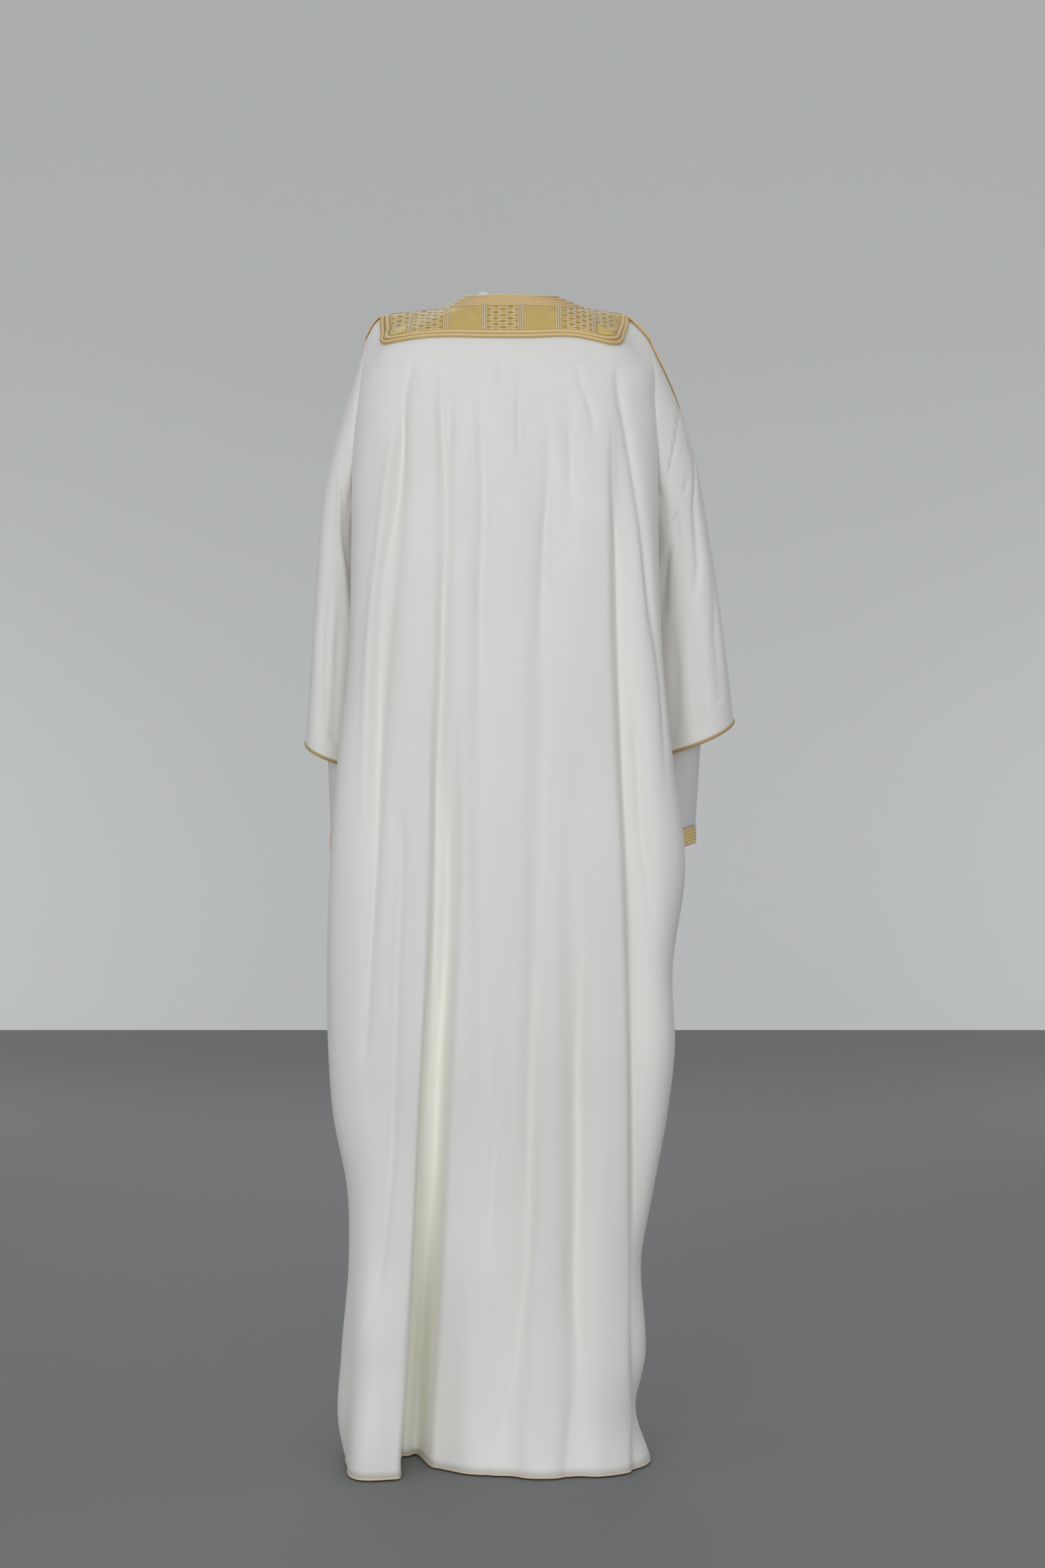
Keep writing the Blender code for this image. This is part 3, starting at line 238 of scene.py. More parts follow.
BACK_DEPTH = 0.14
# The same for the front and the inner thobe: name, reaches, sharpness, then (x, height, depth in mm)
FRONT_FOLDS = (
    ("left_edge", 12, 12, 2, (0.090, 1.36, 0), (0.094, 1.20, -4), (0.098, 0.90, -6),
     (0.104, 0.50, -5), (0.110, 0.02, -7)),
    ("left_mid", 14, 12, 2, (0.140, 1.34, 0), (0.146, 1.10, -5), (0.156, 0.75, -7), (0.150, 0.35, -6),
     (0.146, 0.01, -9)),
    ("left_short", 9, 9, 1.7, (0.170, 1.00, 0), (0.182, 0.80, -4), (0.184, 0.60, -4), (0.176, 0.40, 0)),
    ("right_edge", 11, 13, 2, (-0.086, 1.37, 0), (-0.092, 1.15, -5), (-0.100, 0.80, -5),
     (-0.098, 0.40, -7), (-0.104, 0.01, -6)),
    ("right_mid", 13, 13, 2, (-0.136, 1.30, 0), (-0.150, 1.00, -6), (-0.160, 0.70, -6),
     (-0.148, 0.30, -8), (-0.140, 0.02, -6)),
    ("right_short", 8, 9, 1.7, (-0.178, 0.95, 0), (-0.190, 0.75, -4), (-0.186, 0.50, 0)),
)
THOBE_FRONT_FOLDS = (
    ("left_long", 12, 12, 2, (0.060, 1.20, 0), (0.058, 0.95, 3), (0.066, 0.60, 5), (0.072, 0.05, 7)),
    ("right_long", 12, 10, 2, (-0.052, 1.22, 0), (-0.056, 0.90, 4), (-0.060, 0.50, 5), (-0.068, 0.05, 7)),
    ("middle_low", 10, 10, 1.8, (0.008, 0.80, 0), (0.006, 0.50, 4), (0.004, 0.05, 5)),
    ("left_side", 12, 12, 2, (0.104, 1.10, 0), (0.108, 0.80, 4), (0.118, 0.05, 6)),
    ("right_side", 12, 12, 2, (-0.100, 1.15, 0), (-0.104, 0.70, 4), (-0.110, 0.05, 6)),
)
THOBE_BACK_FOLDS = (
    ("left_long", 12, 12, 2, (0.070, 1.35, 0), (0.064, 1.00, 4), (0.074, 0.50, 6), (0.082, 0.05, 7)),
    ("middle_long", 10, 11, 2, (0.004, 1.30, 0), (0.006, 0.85, 3), (0.002, 0.45, 5), (0.004, 0.05, 6)),
    ("right_long", 12, 11, 2, (-0.066, 1.32, 0), (-0.070, 0.90, 4), (-0.074, 0.05, 6)),
)
print("small folds:", len(BACK_FOLDS), "behind,", len(FRONT_FOLDS), "in front")

# %% [markdown]
# ## Reading the tables
# `smooth` draws one curve through the values of a column. The rings' squareness is the power
# that the sine and cosine are raised to, as in a superellipse: under 1 it fills the corners.

# %% Curves
def table(columns, rows):
    return {name: np.array([row[i] for row in rows]) for i, name in enumerate(columns.split())}


def smooth(at, knots, values):
    """A smooth curve through (knots, values), read at each `at`."""
    at = np.clip(at, knots[0], knots[-1])
    slopes = np.gradient(values, knots)
    i = np.clip(np.searchsorted(knots, at, side="right") - 1, 0, len(knots) - 2)
    width = knots[i + 1] - knots[i]
    t = (at - knots[i]) / width
    return (
        values[i] * (1 + 2 * t) * (1 - t) ** 2
        + values[i + 1] * t**2 * (3 - 2 * t)
        + width * slopes[i] * t * (1 - t) ** 2
        - width * slopes[i + 1] * t**2 * (1 - t)
    )


def eased(at, knots, values):
    """Like np.interp, with no corner at the knots."""
    i = np.clip(np.searchsorted(knots, at, side="right") - 1, 0, len(knots) - 2)
    t = np.clip((at - knots[i]) / (knots[i + 1] - knots[i]), 0, 1)
    return values[i] + (values[i + 1] - values[i]) * t**2 * (3 - 2 * t)


def unit(vectors):
    return vectors / np.linalg.norm(vectors, axis=-1, keepdims=True)


def distances(points, counts=1.0):
    """How far along a line each of its points is; counts weighs x, y and height."""
    steps = np.linalg.norm(np.diff(points, axis=0) * counts, axis=1)
    return np.concatenate([[0], np.cumsum(steps)])


def half_turn(angle):
    """The same angle, between -180 and 180 degrees."""
    return (angle + np.pi) % (2 * np.pi) - np.pi


print("a smooth curve halfway from 0 to 1:", float(smooth(0.5, np.array([0, 1]), np.array([0.0, 1.0]))))


# %% Rings
def sections(rows):
    """The table of rings, with each ring's distance down the cloth from the neck."""
    rings = table(SECTION_COLUMNS, rows)
    steps = np.hypot(np.diff(rings["back"] - rings["front"]) / 2, np.diff(rings["back_height"]))
    steps = np.maximum(steps, np.hypot(np.diff(rings["left"]), np.diff(rings["side_height"])))
    rings["run"] = np.concatenate([[0], np.cumsum(steps)])
    return rings


def run_of(rings, name):
    return rings["run"][list(rings["name"]).index(name)]


def ring_points(rings, theta, run):
    """Points of the plain rings. theta is 0 behind, 90 degrees on the left and 180 in front."""
    s = {k: smooth(run, rings["run"], rings[k]) for k in rings if k not in ("name", "run")}
    side, back = np.sin(theta), np.cos(theta)
    behind = back > 0
    half = np.where(side > 0, s["left"], s["right"])
    deep = np.where(behind, s["back"] - s["wide"], s["wide"] - s["front"])
    power = np.where(behind, s["back_power"], s["front_power"])
    x = half * np.sign(side) * np.abs(side) ** power
    y = s["wide"] + deep * np.sign(back) * np.abs(back) ** power
    end_height = np.where(behind, s["back_height"], s["front_height"])
    falling = 1 - (1 - np.abs(back)) ** np.where(behind, s["back_fall"], s["front_fall"])
    height = s["side_height"] + (end_height - s["side_height"]) * falling
    return np.stack([x, y, height], axis=-1)


print("rings run", round(sections(ROBE_SECTIONS)["run"][-1], 3), "m down the robe")

# %% Fold lines
# The picture's soft light makes small folds look wider and shallower than they are
DEEPER, NARROWER = 1.15, 0.85
# These folds go straight in from behind, and a little to the left, under their left edge
STRAIGHT_IN = ("deep_trough", "trough_shoulder")
STRAIGHT_WAY = np.array([0.14, -1.0, 0.0])


def large_fold(row):
    """A fold as (face, heights upwards, xs, depths, inner, outer, flat, narrow, straight)."""
    f = dict(zip(FOLD_COLUMNS.split(), row))
    heights = np.array([f["low_height"], f["middle_height"], f["high_height"], f["start"]])
    xs = np.array([f["low_x"], f["middle_x"], f["high_x"], f["high_x"]])
    depths = np.array([f["low_depth"], f["middle_depth"], f["high_depth"], 0.0])
    straight = f["name"] in STRAIGHT_IN
    return "back", heights, xs, depths, f["inner"], f["outer"], f["flat"], False, straight


def small_fold(row, face, on_picture):
    """A small fold in the same form, from its line on the picture or in metres."""
    _, inner, outer, flat, *line = row
    across, down, depth = (np.array(column, float)[::-1] for column in zip(*line))
    if on_picture:
        across, down = pixel_x(across, BACK_DEPTH), pixel_height(down, BACK_DEPTH)
    inner, outer = inner / 1000 * NARROWER, outer / 1000 * NARROWER
    return face, down, across, depth / 1000 * DEEPER, inner, outer, flat, True, False


ROBE_LINES = [large_fold(row) for row in LARGE_FOLDS]
ROBE_LINES += [small_fold(row, "back", True) for row in BACK_FOLDS]
ROBE_LINES += [small_fold(row, "front", False) for row in FRONT_FOLDS]
THOBE_LINES = [small_fold(row, "front", False) for row in THOBE_FRONT_FOLDS]
THOBE_LINES += [small_fold(row, "back", False) for row in THOBE_BACK_FOLDS]
print("fold lines:", len(ROBE_LINES), "on the robe,", len(THOBE_LINES), "on the thobe")

# %% How far the folds go in
FOLD_FADE = 6.0  # how fast the folds behind fade out past the side


def fold_depth(rings, lines, theta, run, points):
    """How far the folds press the cloth in across its face, and how far straight in. A narrow
    fold is measured straight across from its line, a wide one round the ring."""
    height = points[..., 2]
    wide, left, right = (smooth(run, rings["run"], rings[name]) for name in ("wide", "left", "right"))
    angles = {"back": theta, "front": np.sign(theta) * (np.pi - np.abs(theta))}
    fading = {"back": np.clip(np.cos(theta) * FOLD_FADE + 1, 0, 1), "front": np.cos(theta) < 0}
    ways = {"back": 1, "front": -1}
    powers = {face: smooth(run, rings["run"], rings[face + "_power"]) for face in ways}
    deeps = {face: ways[face] * smooth(run, rings["run"], rings[face] - rings["wide"]) for face in ways}
    total, straight_in = np.zeros_like(height), np.zeros_like(height)
    for face, heights, xs, depths, inner, outer, flat, narrow, straight in lines:
        if np.min(height) > heights[-1]:
            continue
        angle, power, deep = angles[face], powers[face], deeps[face]
        x = smooth(height, heights, xs)
        half = np.where(x > 0, left, right)
        reach = np.clip(np.abs(x) / half, 1e-6, 0.999)
        centre = np.arcsin(reach ** (1 / power))
        outside = np.where(np.sign(angle) == np.sign(x), np.abs(angle), -np.abs(angle)) - centre
        if narrow:
            line_y = wide + ways[face] * deep * np.cos(centre) ** power
            aside = np.hypot(points[..., 0] - np.sign(x) * half * reach, points[..., 1] - line_y)
        else:
            aside = np.abs(outside) * np.hypot(
                half * power * reach ** (1 - 1 / power) * np.cos(centre),
                deep * power * np.cos(centre) ** (power - 1) * np.sin(centre),
            )
        width = np.where(outside > 0, outer, inner)
        pressed = eased(height, heights, depths) * np.exp(-(aside / width) ** flat)
        if straight:
            straight_in += pressed * fading[face]
        else:
            total += pressed * fading[face]
    return total, straight_in


print("deepest fold line:", max(float(np.max(line[3])) for line in ROBE_LINES), "m")

# %% A garment's body
ANGLE_STEP, RUN_STEP, SLEEVE_STEP = 0.02, 0.0009, 0.004
# The painted warm light in folds is full at the first depth, and folds that reach wider than the second get
# none
FULLY_IN, OPEN_FOLD = 0.034, 0.050


def normals(skin, a, b, step_a, step_b):
    """Unit normals of skin(a, b)."""
    across = skin(a + step_a, b) - skin(a - step_a, b)
    down = skin(a, b + step_b) - skin(a, b - step_b)
    return unit(np.cross(across, down))


class Body:
    """One body's rings, folds and armholes. Its points are in the frame's own heights."""

    def __init__(self, rows, lines, armhole_deg):
        self.rings, self.lines, self.armhole_deg = sections(rows), lines, armhole_deg
        self.top, self.bottom = run_of(self.rings, "shoulder"), run_of(self.rings, "underarm")
        self.end = self.rings["run"][-1]

    def points(self, theta, run):
        theta, run = np.broadcast_arrays(np.asarray(theta, float), np.asarray(run, float))
        points = ring_points(self.rings, theta, run)
        along = ring_points(self.rings, theta + ANGLE_STEP, run)
        along = along - ring_points(self.rings, theta - ANGLE_STEP, run)
        outward = unit(np.stack([-along[..., 1], along[..., 0], np.zeros_like(theta)], axis=-1))
        depth, straight_in = fold_depth(self.rings, self.lines, half_turn(theta), run, points)
        points = points - outward * depth[..., None] + STRAIGHT_WAY * straight_in[..., None]
        return points + np.array([0, 0, FLOOR])

    def in_fold(self, theta, run):
        """0 on the open cloth to 1 deep inside a fold, the mask of the painted warm fold light; the widest
        folds are too open to count.
        """
        lines = [line for line in self.lines if line[4] + line[5] < OPEN_FOLD]
        plain = ring_points(self.rings, theta, run)
        depth = sum(fold_depth(self.rings, lines, half_turn(theta), run, plain))
        return np.clip(depth / FULLY_IN, 0, 1)

    def normals(self, theta, run):
        run = np.clip(run, 2 * RUN_STEP, self.end - 2 * RUN_STEP)
        return normals(self.points, theta, run, ANGLE_STEP / 4, RUN_STEP)

    def column(self, name, run):
        return smooth(run, self.rings["run"], self.rings[name].astype(float))

    def armhole_half(self, run):
        share = np.clip((run - self.top) / (self.bottom - self.top), 0, 1)
        return np.radians(self.armhole_deg * np.sqrt(np.maximum(1 - (1 - 2 * share) ** 2, 0)))

    def armhole(self, side, alpha):
        """Points of the armhole's edge. alpha is 0 at the shoulder and 90 degrees behind."""
        run = self.top + (self.bottom - self.top) * (1 - np.cos(alpha)) / 2
        theta = side * np.radians(self.column("seam", run) - self.armhole_deg * np.sin(alpha))
        return self.points(theta, run)


ROBE = Body(ROBE_SECTIONS, ROBE_LINES, armhole_deg=24.0)
THOBE = Body(THOBE_SECTIONS, THOBE_LINES, armhole_deg=30.0)
print("cloth from neck to hem:", round(ROBE.end, 3), "and", round(THOBE.end, 3), "m")

# %% [markdown]
# ## Meshes from a grid
# All the cloth here is a grid whose vertices are moved onto a surface, so its columns and
# rows give the UV map in metres, and weave and stripes keep their scale. `rope` is the same
# grid rolled round a line, with lobes that turn as the strands of a twisted cord do.

# %% Grids
def new_mesh():
    bm = bmesh.new()
    bm.loops.layers.uv.new("UVMap")
    bm.verts.layers.float.new("in_fold")
    return bm


def patch(bm, points, size, in_fold=None):
    """Adds a grid through points[row, column] to bm. size is its width and length in metres."""
    rows, columns = points.shape[0] - 1, points.shape[1] - 1
    uv, fold = bm.loops.layers.uv.active, bm.verts.layers.float["in_fold"]
    made = bmesh.ops.create_grid(bm, x_segments=columns, y_segments=rows, size=0.5)
    for v in made["verts"]:
        column, row = round((v.co.x + 0.5) * columns), round((v.co.y + 0.5) * rows)
        v.co = points[row, column]
        v[fold] = 0 if in_fold is None else in_fold[row, column]
        for loop in v.link_loops:
            loop[uv].uv = (column / columns * size[0], row / rows * size[1])


print("layers of a grid: UVMap and in_fold")


# %% Ropes
def even_line(points, ways, step):
    """The same line with a point every `step` metres, and the direction of its thickness there."""
    length = distances(points)
    at = np.linspace(0, length[-1], max(3, round(length[-1] / step) + 1))
    line = np.stack([np.interp(at, length, points[:, k]) for k in range(3)], axis=-1)
    way = np.stack([np.interp(at, length, ways[:, k]) for k in range(3)], axis=-1)
    return line, unit(way), at


GROOVE = 0.16  # depth of the groove between two strands, as a share of the cord's half size


def rope(bm, points, ways, width, height, sides=8, step=0.002, strands=0, pitch=0.01, closed=False):
    """Adds a cord along points to bm; width and height are its half sizes, each one or many."""
    line, way, at = even_line(points, ways, step)
    along = np.gradient(line, axis=0)
    if closed:
        along[0] = along[-1] = line[1] - line[-2]
    across = unit(np.cross(along, way))
    turn = 2 * np.pi * np.arange(sides + 1) / sides
    width = np.interp(at, np.linspace(0, at[-1], np.size(width)), np.atleast_1d(width))
    height = np.interp(at, np.linspace(0, at[-1], np.size(height)), np.atleast_1d(height))
    lobes = np.ones((len(line), sides + 1))
    if strands:
        turned = turn[None, :] - 2 * np.pi * at[:, None] / pitch
        lobes = 1 - GROOVE + GROOVE * np.abs(np.cos(strands / 2 * turned))
    if not closed:
        line = np.concatenate([line[:1], line, line[-1:]])
        across, way = (np.concatenate([a[:1], a, a[-1:]]) for a in (across, way))
        lobes = np.concatenate([lobes[:1] * 0, lobes, lobes[-1:] * 0])
        width, height = (np.concatenate([a[:1], a, a[-1:]]) for a in (width, height))
    round_x = (lobes * width[:, None] * np.cos(turn))[..., None] * across[:, None, :]
    round_z = (lobes * height[:, None] * np.sin(turn))[..., None] * way[:, None, :]
    patch(bm, line[:, None, :] + round_x + round_z, (2 * np.pi * float(width.mean()), at[-1]))


print("grooves between strands:", GROOVE, "of a cord's half size")

# %% Pieces
SAME_SPOT = 2e-6  # vertices this close, in metres, become one


def new_object(name, bm, finish):
    mesh = bpy.data.meshes.new(name)
    bm.to_mesh(mesh)
    bm.free()
    mesh.materials.append(finish)
    obj = bpy.data.objects.new(name, mesh)
    scene.collection.objects.link(obj)
    return obj


def as_piece(name, bm, finish, slot, *nodes, closed_form=True):
    """The bmesh as a finished piece on the garment, in place of the named nodes."""
    bmesh.ops.remove_doubles(bm, verts=bm.verts, dist=SAME_SPOT)
    if closed_form:
        bmesh.ops.recalc_face_normals(bm, faces=bm.faces)
    obj = new_object(name, bm, finish)
    obj.data.shade_smooth()
    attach(obj, "root")
    if nodes:
        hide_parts(*nodes)
    return obj


def as_pieces(prefix, meshes, finishes, slot, *nodes, closed_form=True):
    """One piece for each colour of thread."""
    for colour, finish in finishes.items():
        as_piece(prefix + colour, meshes[colour], finish, slot, *nodes, closed_form=closed_form)


def cloth(name, points, size, finish, slot, node, thickness, in_fold=None):
    """A sheet over a grid of points. It has an inside too: the wall grows in from its face."""
    bm = new_mesh()
    patch(bm, points, size, in_fold)
    made = as_piece(name, bm, finish, slot, node, closed_form=False)
    wall = made.modifiers.new("wall", "SOLIDIFY")
    wall.thickness = thickness
    wall.offset = -1
    print(name, "cloth", round(sum(face.area for face in made.data.polygons), 4), "m2")
    return made


print("vertices closer than", SAME_SPOT, "m become one")

# %% [markdown]
# ## Finishes
# Every cloth here is a Principled shader with its colour, roughness and bump worked out from
# the piece's UV map, which is in metres. Crepe is matt, with a pebbled face from its
# twisted threads and a soft sheen where it turns away from the eye. Light that comes through
# thin ivory cloth into a fold is warm, so the cloth keeps how deep in a fold each vertex is,
# and that warm light is painted into its colour there: paler and yellower.

# %% Node helper
def add_node(tree, kind, settings=(), **inputs):
    """A node with its settings, and inputs by name, each a value or the socket it comes from."""
    node = tree.nodes.new("ShaderNode" + kind)
    for name, value in dict(settings).items():
        setattr(node, name, value)
    for name, value in inputs.items():
        socket = node.inputs[int(name[1:])] if name[1:].isdigit() else node.inputs[name.replace("_", " ")]
        if isinstance(value, bpy.types.NodeSocket):
            tree.links.new(value, socket)
        else:
            socket.default_value = value
    return node


def new_finish(name, roughness, metallic=0.0, sheen=0.0, sheen_tint=(1, 1, 1)):
    """A material and its shader, with the values that are the same all over."""
    material = bpy.data.materials.new(name)
    material.use_nodes = True
    shader = material.node_tree.nodes["Principled BSDF"]
    shader.inputs["Roughness"].default_value = roughness
    shader.inputs["Metallic"].default_value = metallic
    shader.inputs["Sheen Weight"].default_value = sheen
    shader.inputs["Sheen Roughness"].default_value = 0.4
    shader.inputs["Sheen Tint"].default_value = (*sheen_tint, 1)
    return material, material.node_tree, shader


def feed(tree, shader, **sockets):
    """Wires a socket into each named input of the shader."""
    for name, socket in sockets.items():
        tree.links.new(socket, shader.inputs[name.replace("_", " ")])


def colours(tree, factor, *stops):
    """A colour ramp from (position, colour) stops."""
    ramp = add_node(tree, "ValToRGB", f0=factor)
    while len(ramp.color_ramp.elements) < len(stops):
        ramp.color_ramp.elements.new(0.5)
    for element, (position, colour) in zip(ramp.color_ramp.elements, stops):
        element.position, element.color = position, (*colour, 1)
    return ramp.outputs["Color"]


def stretched(tree, scale):
    """The UV map in metres, scaled each way."""
    coordinate = add_node(tree, "TexCoord").outputs["UV"]
    return add_node(tree, "Mapping", f0=coordinate, Scale=scale).outputs["Vector"]


# %% Crepe and plain cloth
def crepe(name, light, shade, fold, pebble, sheen):
    """Ivory cloth: slow changes of tone, painted warm light deep in folds, faint lengthwise wrinkles and a
    pebbled weave.
    """
    material, tree, shader = new_finish(name, 0.6, sheen=sheen, sheen_tint=(1.0, 0.97, 0.90))
    slow = add_node(tree, "TexNoise", f0=stretched(tree, (9, 3, 1)), Scale=1.0, Detail=3.0).outputs["Fac"]
    plain = colours(tree, slow, (0.35, shade), (0.65, light))
    # The in_fold mask mixes in the fold colour, which is painted warm light deep in folds
    depth = add_node(tree, "Attribute", {"attribute_name": "in_fold"}).outputs["Fac"]
    colour_with_painted_fold_light = add_node(tree, "MixRGB", Fac=depth, Color1=plain, Color2=(*fold, 1)).outputs["Color"]
    rough = add_node(tree, "MapRange", f0=slow, f3=0.52, f4=0.66).outputs["Result"]
    wrinkle = add_node(tree, "TexNoise", f0=stretched(tree, (60, 9, 1)), Scale=1.0, Detail=4.0)
    weave = add_node(tree, "TexNoise", f0=stretched(tree, (pebble, pebble * 0.7, 1)), Scale=1.0, Detail=2.0)
    soft = add_node(tree, "Bump", Strength=0.35, Distance=0.0012, Height=wrinkle.outputs["Fac"])
    fine = add_node(tree, "Bump", Strength=0.25, Distance=0.0002, Height=weave.outputs["Fac"],
                    Normal=soft.outputs["Normal"])
    feed(tree, shader, Base_Color=colour_with_painted_fold_light, Roughness=rough, Normal=fine.outputs["Normal"])
    return material


# The third colour of each is painted warm light, used deep in folds
ivory_crepe = crepe("ivory_crepe_cloth", (0.83, 0.80, 0.765), (0.79, 0.76, 0.72), (0.93, 0.915, 0.82),
                    pebble=1300, sheen=0.30)
ivory_inner = crepe("ivory_inner_cloth", (0.82, 0.80, 0.78), (0.79, 0.77, 0.74), (0.88, 0.86, 0.76),
                    pebble=1700, sheen=0.20)
print("cloth finishes:", ivory_crepe.name, ivory_inner.name)


# %% Woven gold
def woven_gold(name, light, dark, threads):
    """Metal thread laid side by side down the cloth, each a little off its neighbours' tone."""
    material, tree, shader = new_finish(name, 0.5, metallic=0.25, sheen=0.05)
    place = add_node(tree, "TexCoord").outputs["Object"]
    lines = add_node(tree, "TexWave", {"bands_direction": "X"}, f0=place, Scale=threads, Distortion=0.6,
                     Detail=1.0)
    down = add_node(tree, "Mapping", f0=place, Scale=(700, 60, 60)).outputs["Vector"]
    streak = add_node(tree, "TexNoise", f0=down, Scale=1.0, Detail=3.0)
    mix = add_node(tree, "Math", {"operation": "MULTIPLY_ADD"}, f0=lines.outputs["Fac"], f1=0.35,
                   f2=streak.outputs["Fac"]).outputs["Value"]
    tones = colours(tree, mix, (0.35, dark), (0.85, light))
    bump = add_node(tree, "Bump", Strength=0.6, Distance=0.0003, Height=mix)
    feed(tree, shader, Base_Color=tones, Normal=bump.outputs["Normal"])
    return material


gold_ground = woven_gold("woven_gold_ground", (0.76, 0.55, 0.19), (0.56, 0.38, 0.105), 390)
gold_satin = woven_gold("gold_satin", (0.84, 0.615, 0.175), (0.68, 0.475, 0.11), 520)
print("woven finishes:", gold_ground.name, gold_satin.name)

# %% Threads and cords
TWIST_DEG = 38


def twisted_thread(name, light, dark, pitch):
    """Thread wound along a cord: slanting stripes that follow the cord's own UV map."""
    material, tree, shader = new_finish(name, 0.5, metallic=0.15, sheen=0.1)
    coordinate = add_node(tree, "TexCoord").outputs["UV"]
    twist = (0, 0, math.radians(TWIST_DEG))
    turned = add_node(tree, "Mapping", f0=coordinate, Rotation=twist).outputs["Vector"]
    lines = add_node(tree, "TexWave", {"bands_direction": "Y"}, f0=turned, Scale=0.314 / pitch,
                     Distortion=0.4, Detail=1.0)
    stripes = colours(tree, lines.outputs["Fac"], (0.1, dark), (0.75, light))
    bump = add_node(tree, "Bump", Strength=0.7, Distance=0.0004, Height=lines.outputs["Fac"])
    feed(tree, shader, Base_Color=stripes, Normal=bump.outputs["Normal"])
    return material


# Light and dark tone, and the metres from one turn of the thread to the next
stitch_thread = twisted_thread("rose_silver_thread", (0.84, 0.74, 0.66), (0.66, 0.54, 0.45), 0.0012)
pale_thread = twisted_thread("pale_silver_thread", (0.90, 0.75, 0.50), (0.72, 0.58, 0.35), 0.0012)
olive_thread = twisted_thread("olive_brown_thread", (0.40, 0.26, 0.09), (0.27, 0.16, 0.05), 0.0012)
grey_thread = twisted_thread("warm_grey_thread", (0.86, 0.69, 0.42), (0.70, 0.54, 0.30), 0.0012)
border_thread = twisted_thread("tan_gold_thread", (0.74, 0.53, 0.25), (0.56, 0.38, 0.14), 0.0016)
peach_braid = twisted_thread("peach_gold_braid", (0.94, 0.68, 0.35), (0.76, 0.51, 0.23), 0.0016)
gold_braid = twisted_thread("gold_braid_thread", (0.92, 0.68, 0.33), (0.74, 0.52, 0.22), 0.0016)
ochre_cord = twisted_thread("ochre_gold_cord", (0.62, 0.42, 0.17), (0.44, 0.28, 0.09), 0.0018)
peach_cord = twisted_thread("pale_peach_cord", (0.86, 0.72, 0.52), (0.72, 0.57, 0.38), 0.0018)
print("finishes so far:", len(bpy.data.materials))

# %% [markdown]
# ## The robe's cloth
# The robe is a back and two fronts that meet at the shoulder, the armhole and the side.
# Each panel is a fine grid on the ring surface, folds and all, with the columns shared out
# evenly along each ring and pulled aside only near the armhole.

# %% How panels are shared out
QUARTER_SAMPLES = 801


def even_theta(body, edges, armholes, shares, run, pull):
    """Angles that share out one ring's girth between two edges, pulled aside by the armholes."""
    dense = np.linspace(-1, 1, QUARTER_SAMPLES)
    theta = np.concatenate([quarter + np.pi / 4 * (dense[:-1] + np.sin(np.pi * dense[:-1]) / np.pi)
                            for quarter in np.pi / 4 * np.arange(-3, 13, 2)])
    ring = ring_points(body.rings, theta, np.full_like(theta, run))
    arc = distances(ring)
    start, end = np.interp(edges, theta, arc)
    hole_start, hole_end = np.interp(np.add(edges, armholes), theta, arc)
    at = start + (end - start) * shares
    at += (hole_start - start) * (1 - shares) ** pull + (hole_end - end) * shares**pull
    return np.interp(at, arc, theta)


def panel_rows(body, above, armhole, below):
    """Runs from the neck to the hem, closer together round the armhole's ends."""
    turn = np.pi * np.arange(1, armhole) / armhole
    middle = body.top + (body.bottom - body.top) * (1 - np.cos(turn)) / 2
    low = np.linspace(body.bottom, body.end, below)
    return np.concatenate([np.linspace(0, body.top, above), middle, low])


def panel_grid(body, first, last, columns, rows, pull):
    """Angles and runs of a panel. first and last are (edge angle of a run, armhole side or 0)."""
    shares = np.linspace(0, 1, columns + 1)
    theta = []
    for run in rows:
        half = float(body.armhole_half(run))
        edges, armholes = (first[0](run), last[0](run)), (first[1] * half, last[1] * half)
        theta.append(even_theta(body, edges, armholes, shares, run, pull))
    return np.array(theta), np.broadcast_to(rows[:, None], (len(rows), columns + 1))


def seam_edge(body, side, add=0.0):
    return lambda run: side * math.radians(float(body.column("seam", run))) + add


def front_edge(body, side):
    return lambda run: side * (math.pi - math.radians(float(body.column("open", run))))


robe_rows = panel_rows(ROBE, above=30, armhole=46, below=130)
print("rows of the robe's panels:", len(robe_rows))

# %% Robe panels
BACK_COLUMNS, FRONT_COLUMNS = 236, 56
left_seam, right_seam = seam_edge(ROBE, 1), seam_edge(ROBE, -1)
robe_grids = {
    "back": panel_grid(ROBE, (right_seam, 1), (left_seam, -1), BACK_COLUMNS, robe_rows, pull=5),
    "front_left": panel_grid(ROBE, (left_seam, 1), (front_edge(ROBE, 1), 0), FRONT_COLUMNS, robe_rows,
                             pull=1),
    "front_right": panel_grid(ROBE, (front_edge(ROBE, -1), 0), (right_seam, -1), FRONT_COLUMNS, robe_rows,
                              pull=1),
}
FLAT_ROBE = {"back": (0.68, 1.62), "front_left": (0.30, 1.58), "front_right": (0.30, 1.58)}
ROBE_CLOTH, THOBE_CLOTH = 0.0010, 0.0008
for part, grid in robe_grids.items():
    cloth("outer_robe_" + part, ROBE.points(*grid), FLAT_ROBE[part], ivory_crepe,
                              "ivory_crepe", "robe_" + part, ROBE_CLOTH, ROBE.in_fold(*grid))

# %% [markdown]
# ## The inner thobe
# It is the same kind of body, closed in front, and it is mostly hidden: the fronts of the
# robe leave a strip of it open, and its sleeves show below the robe's. Its back is cut in
# two, with a shoulder yoke of the same cloth, and a felled seam joins the two.

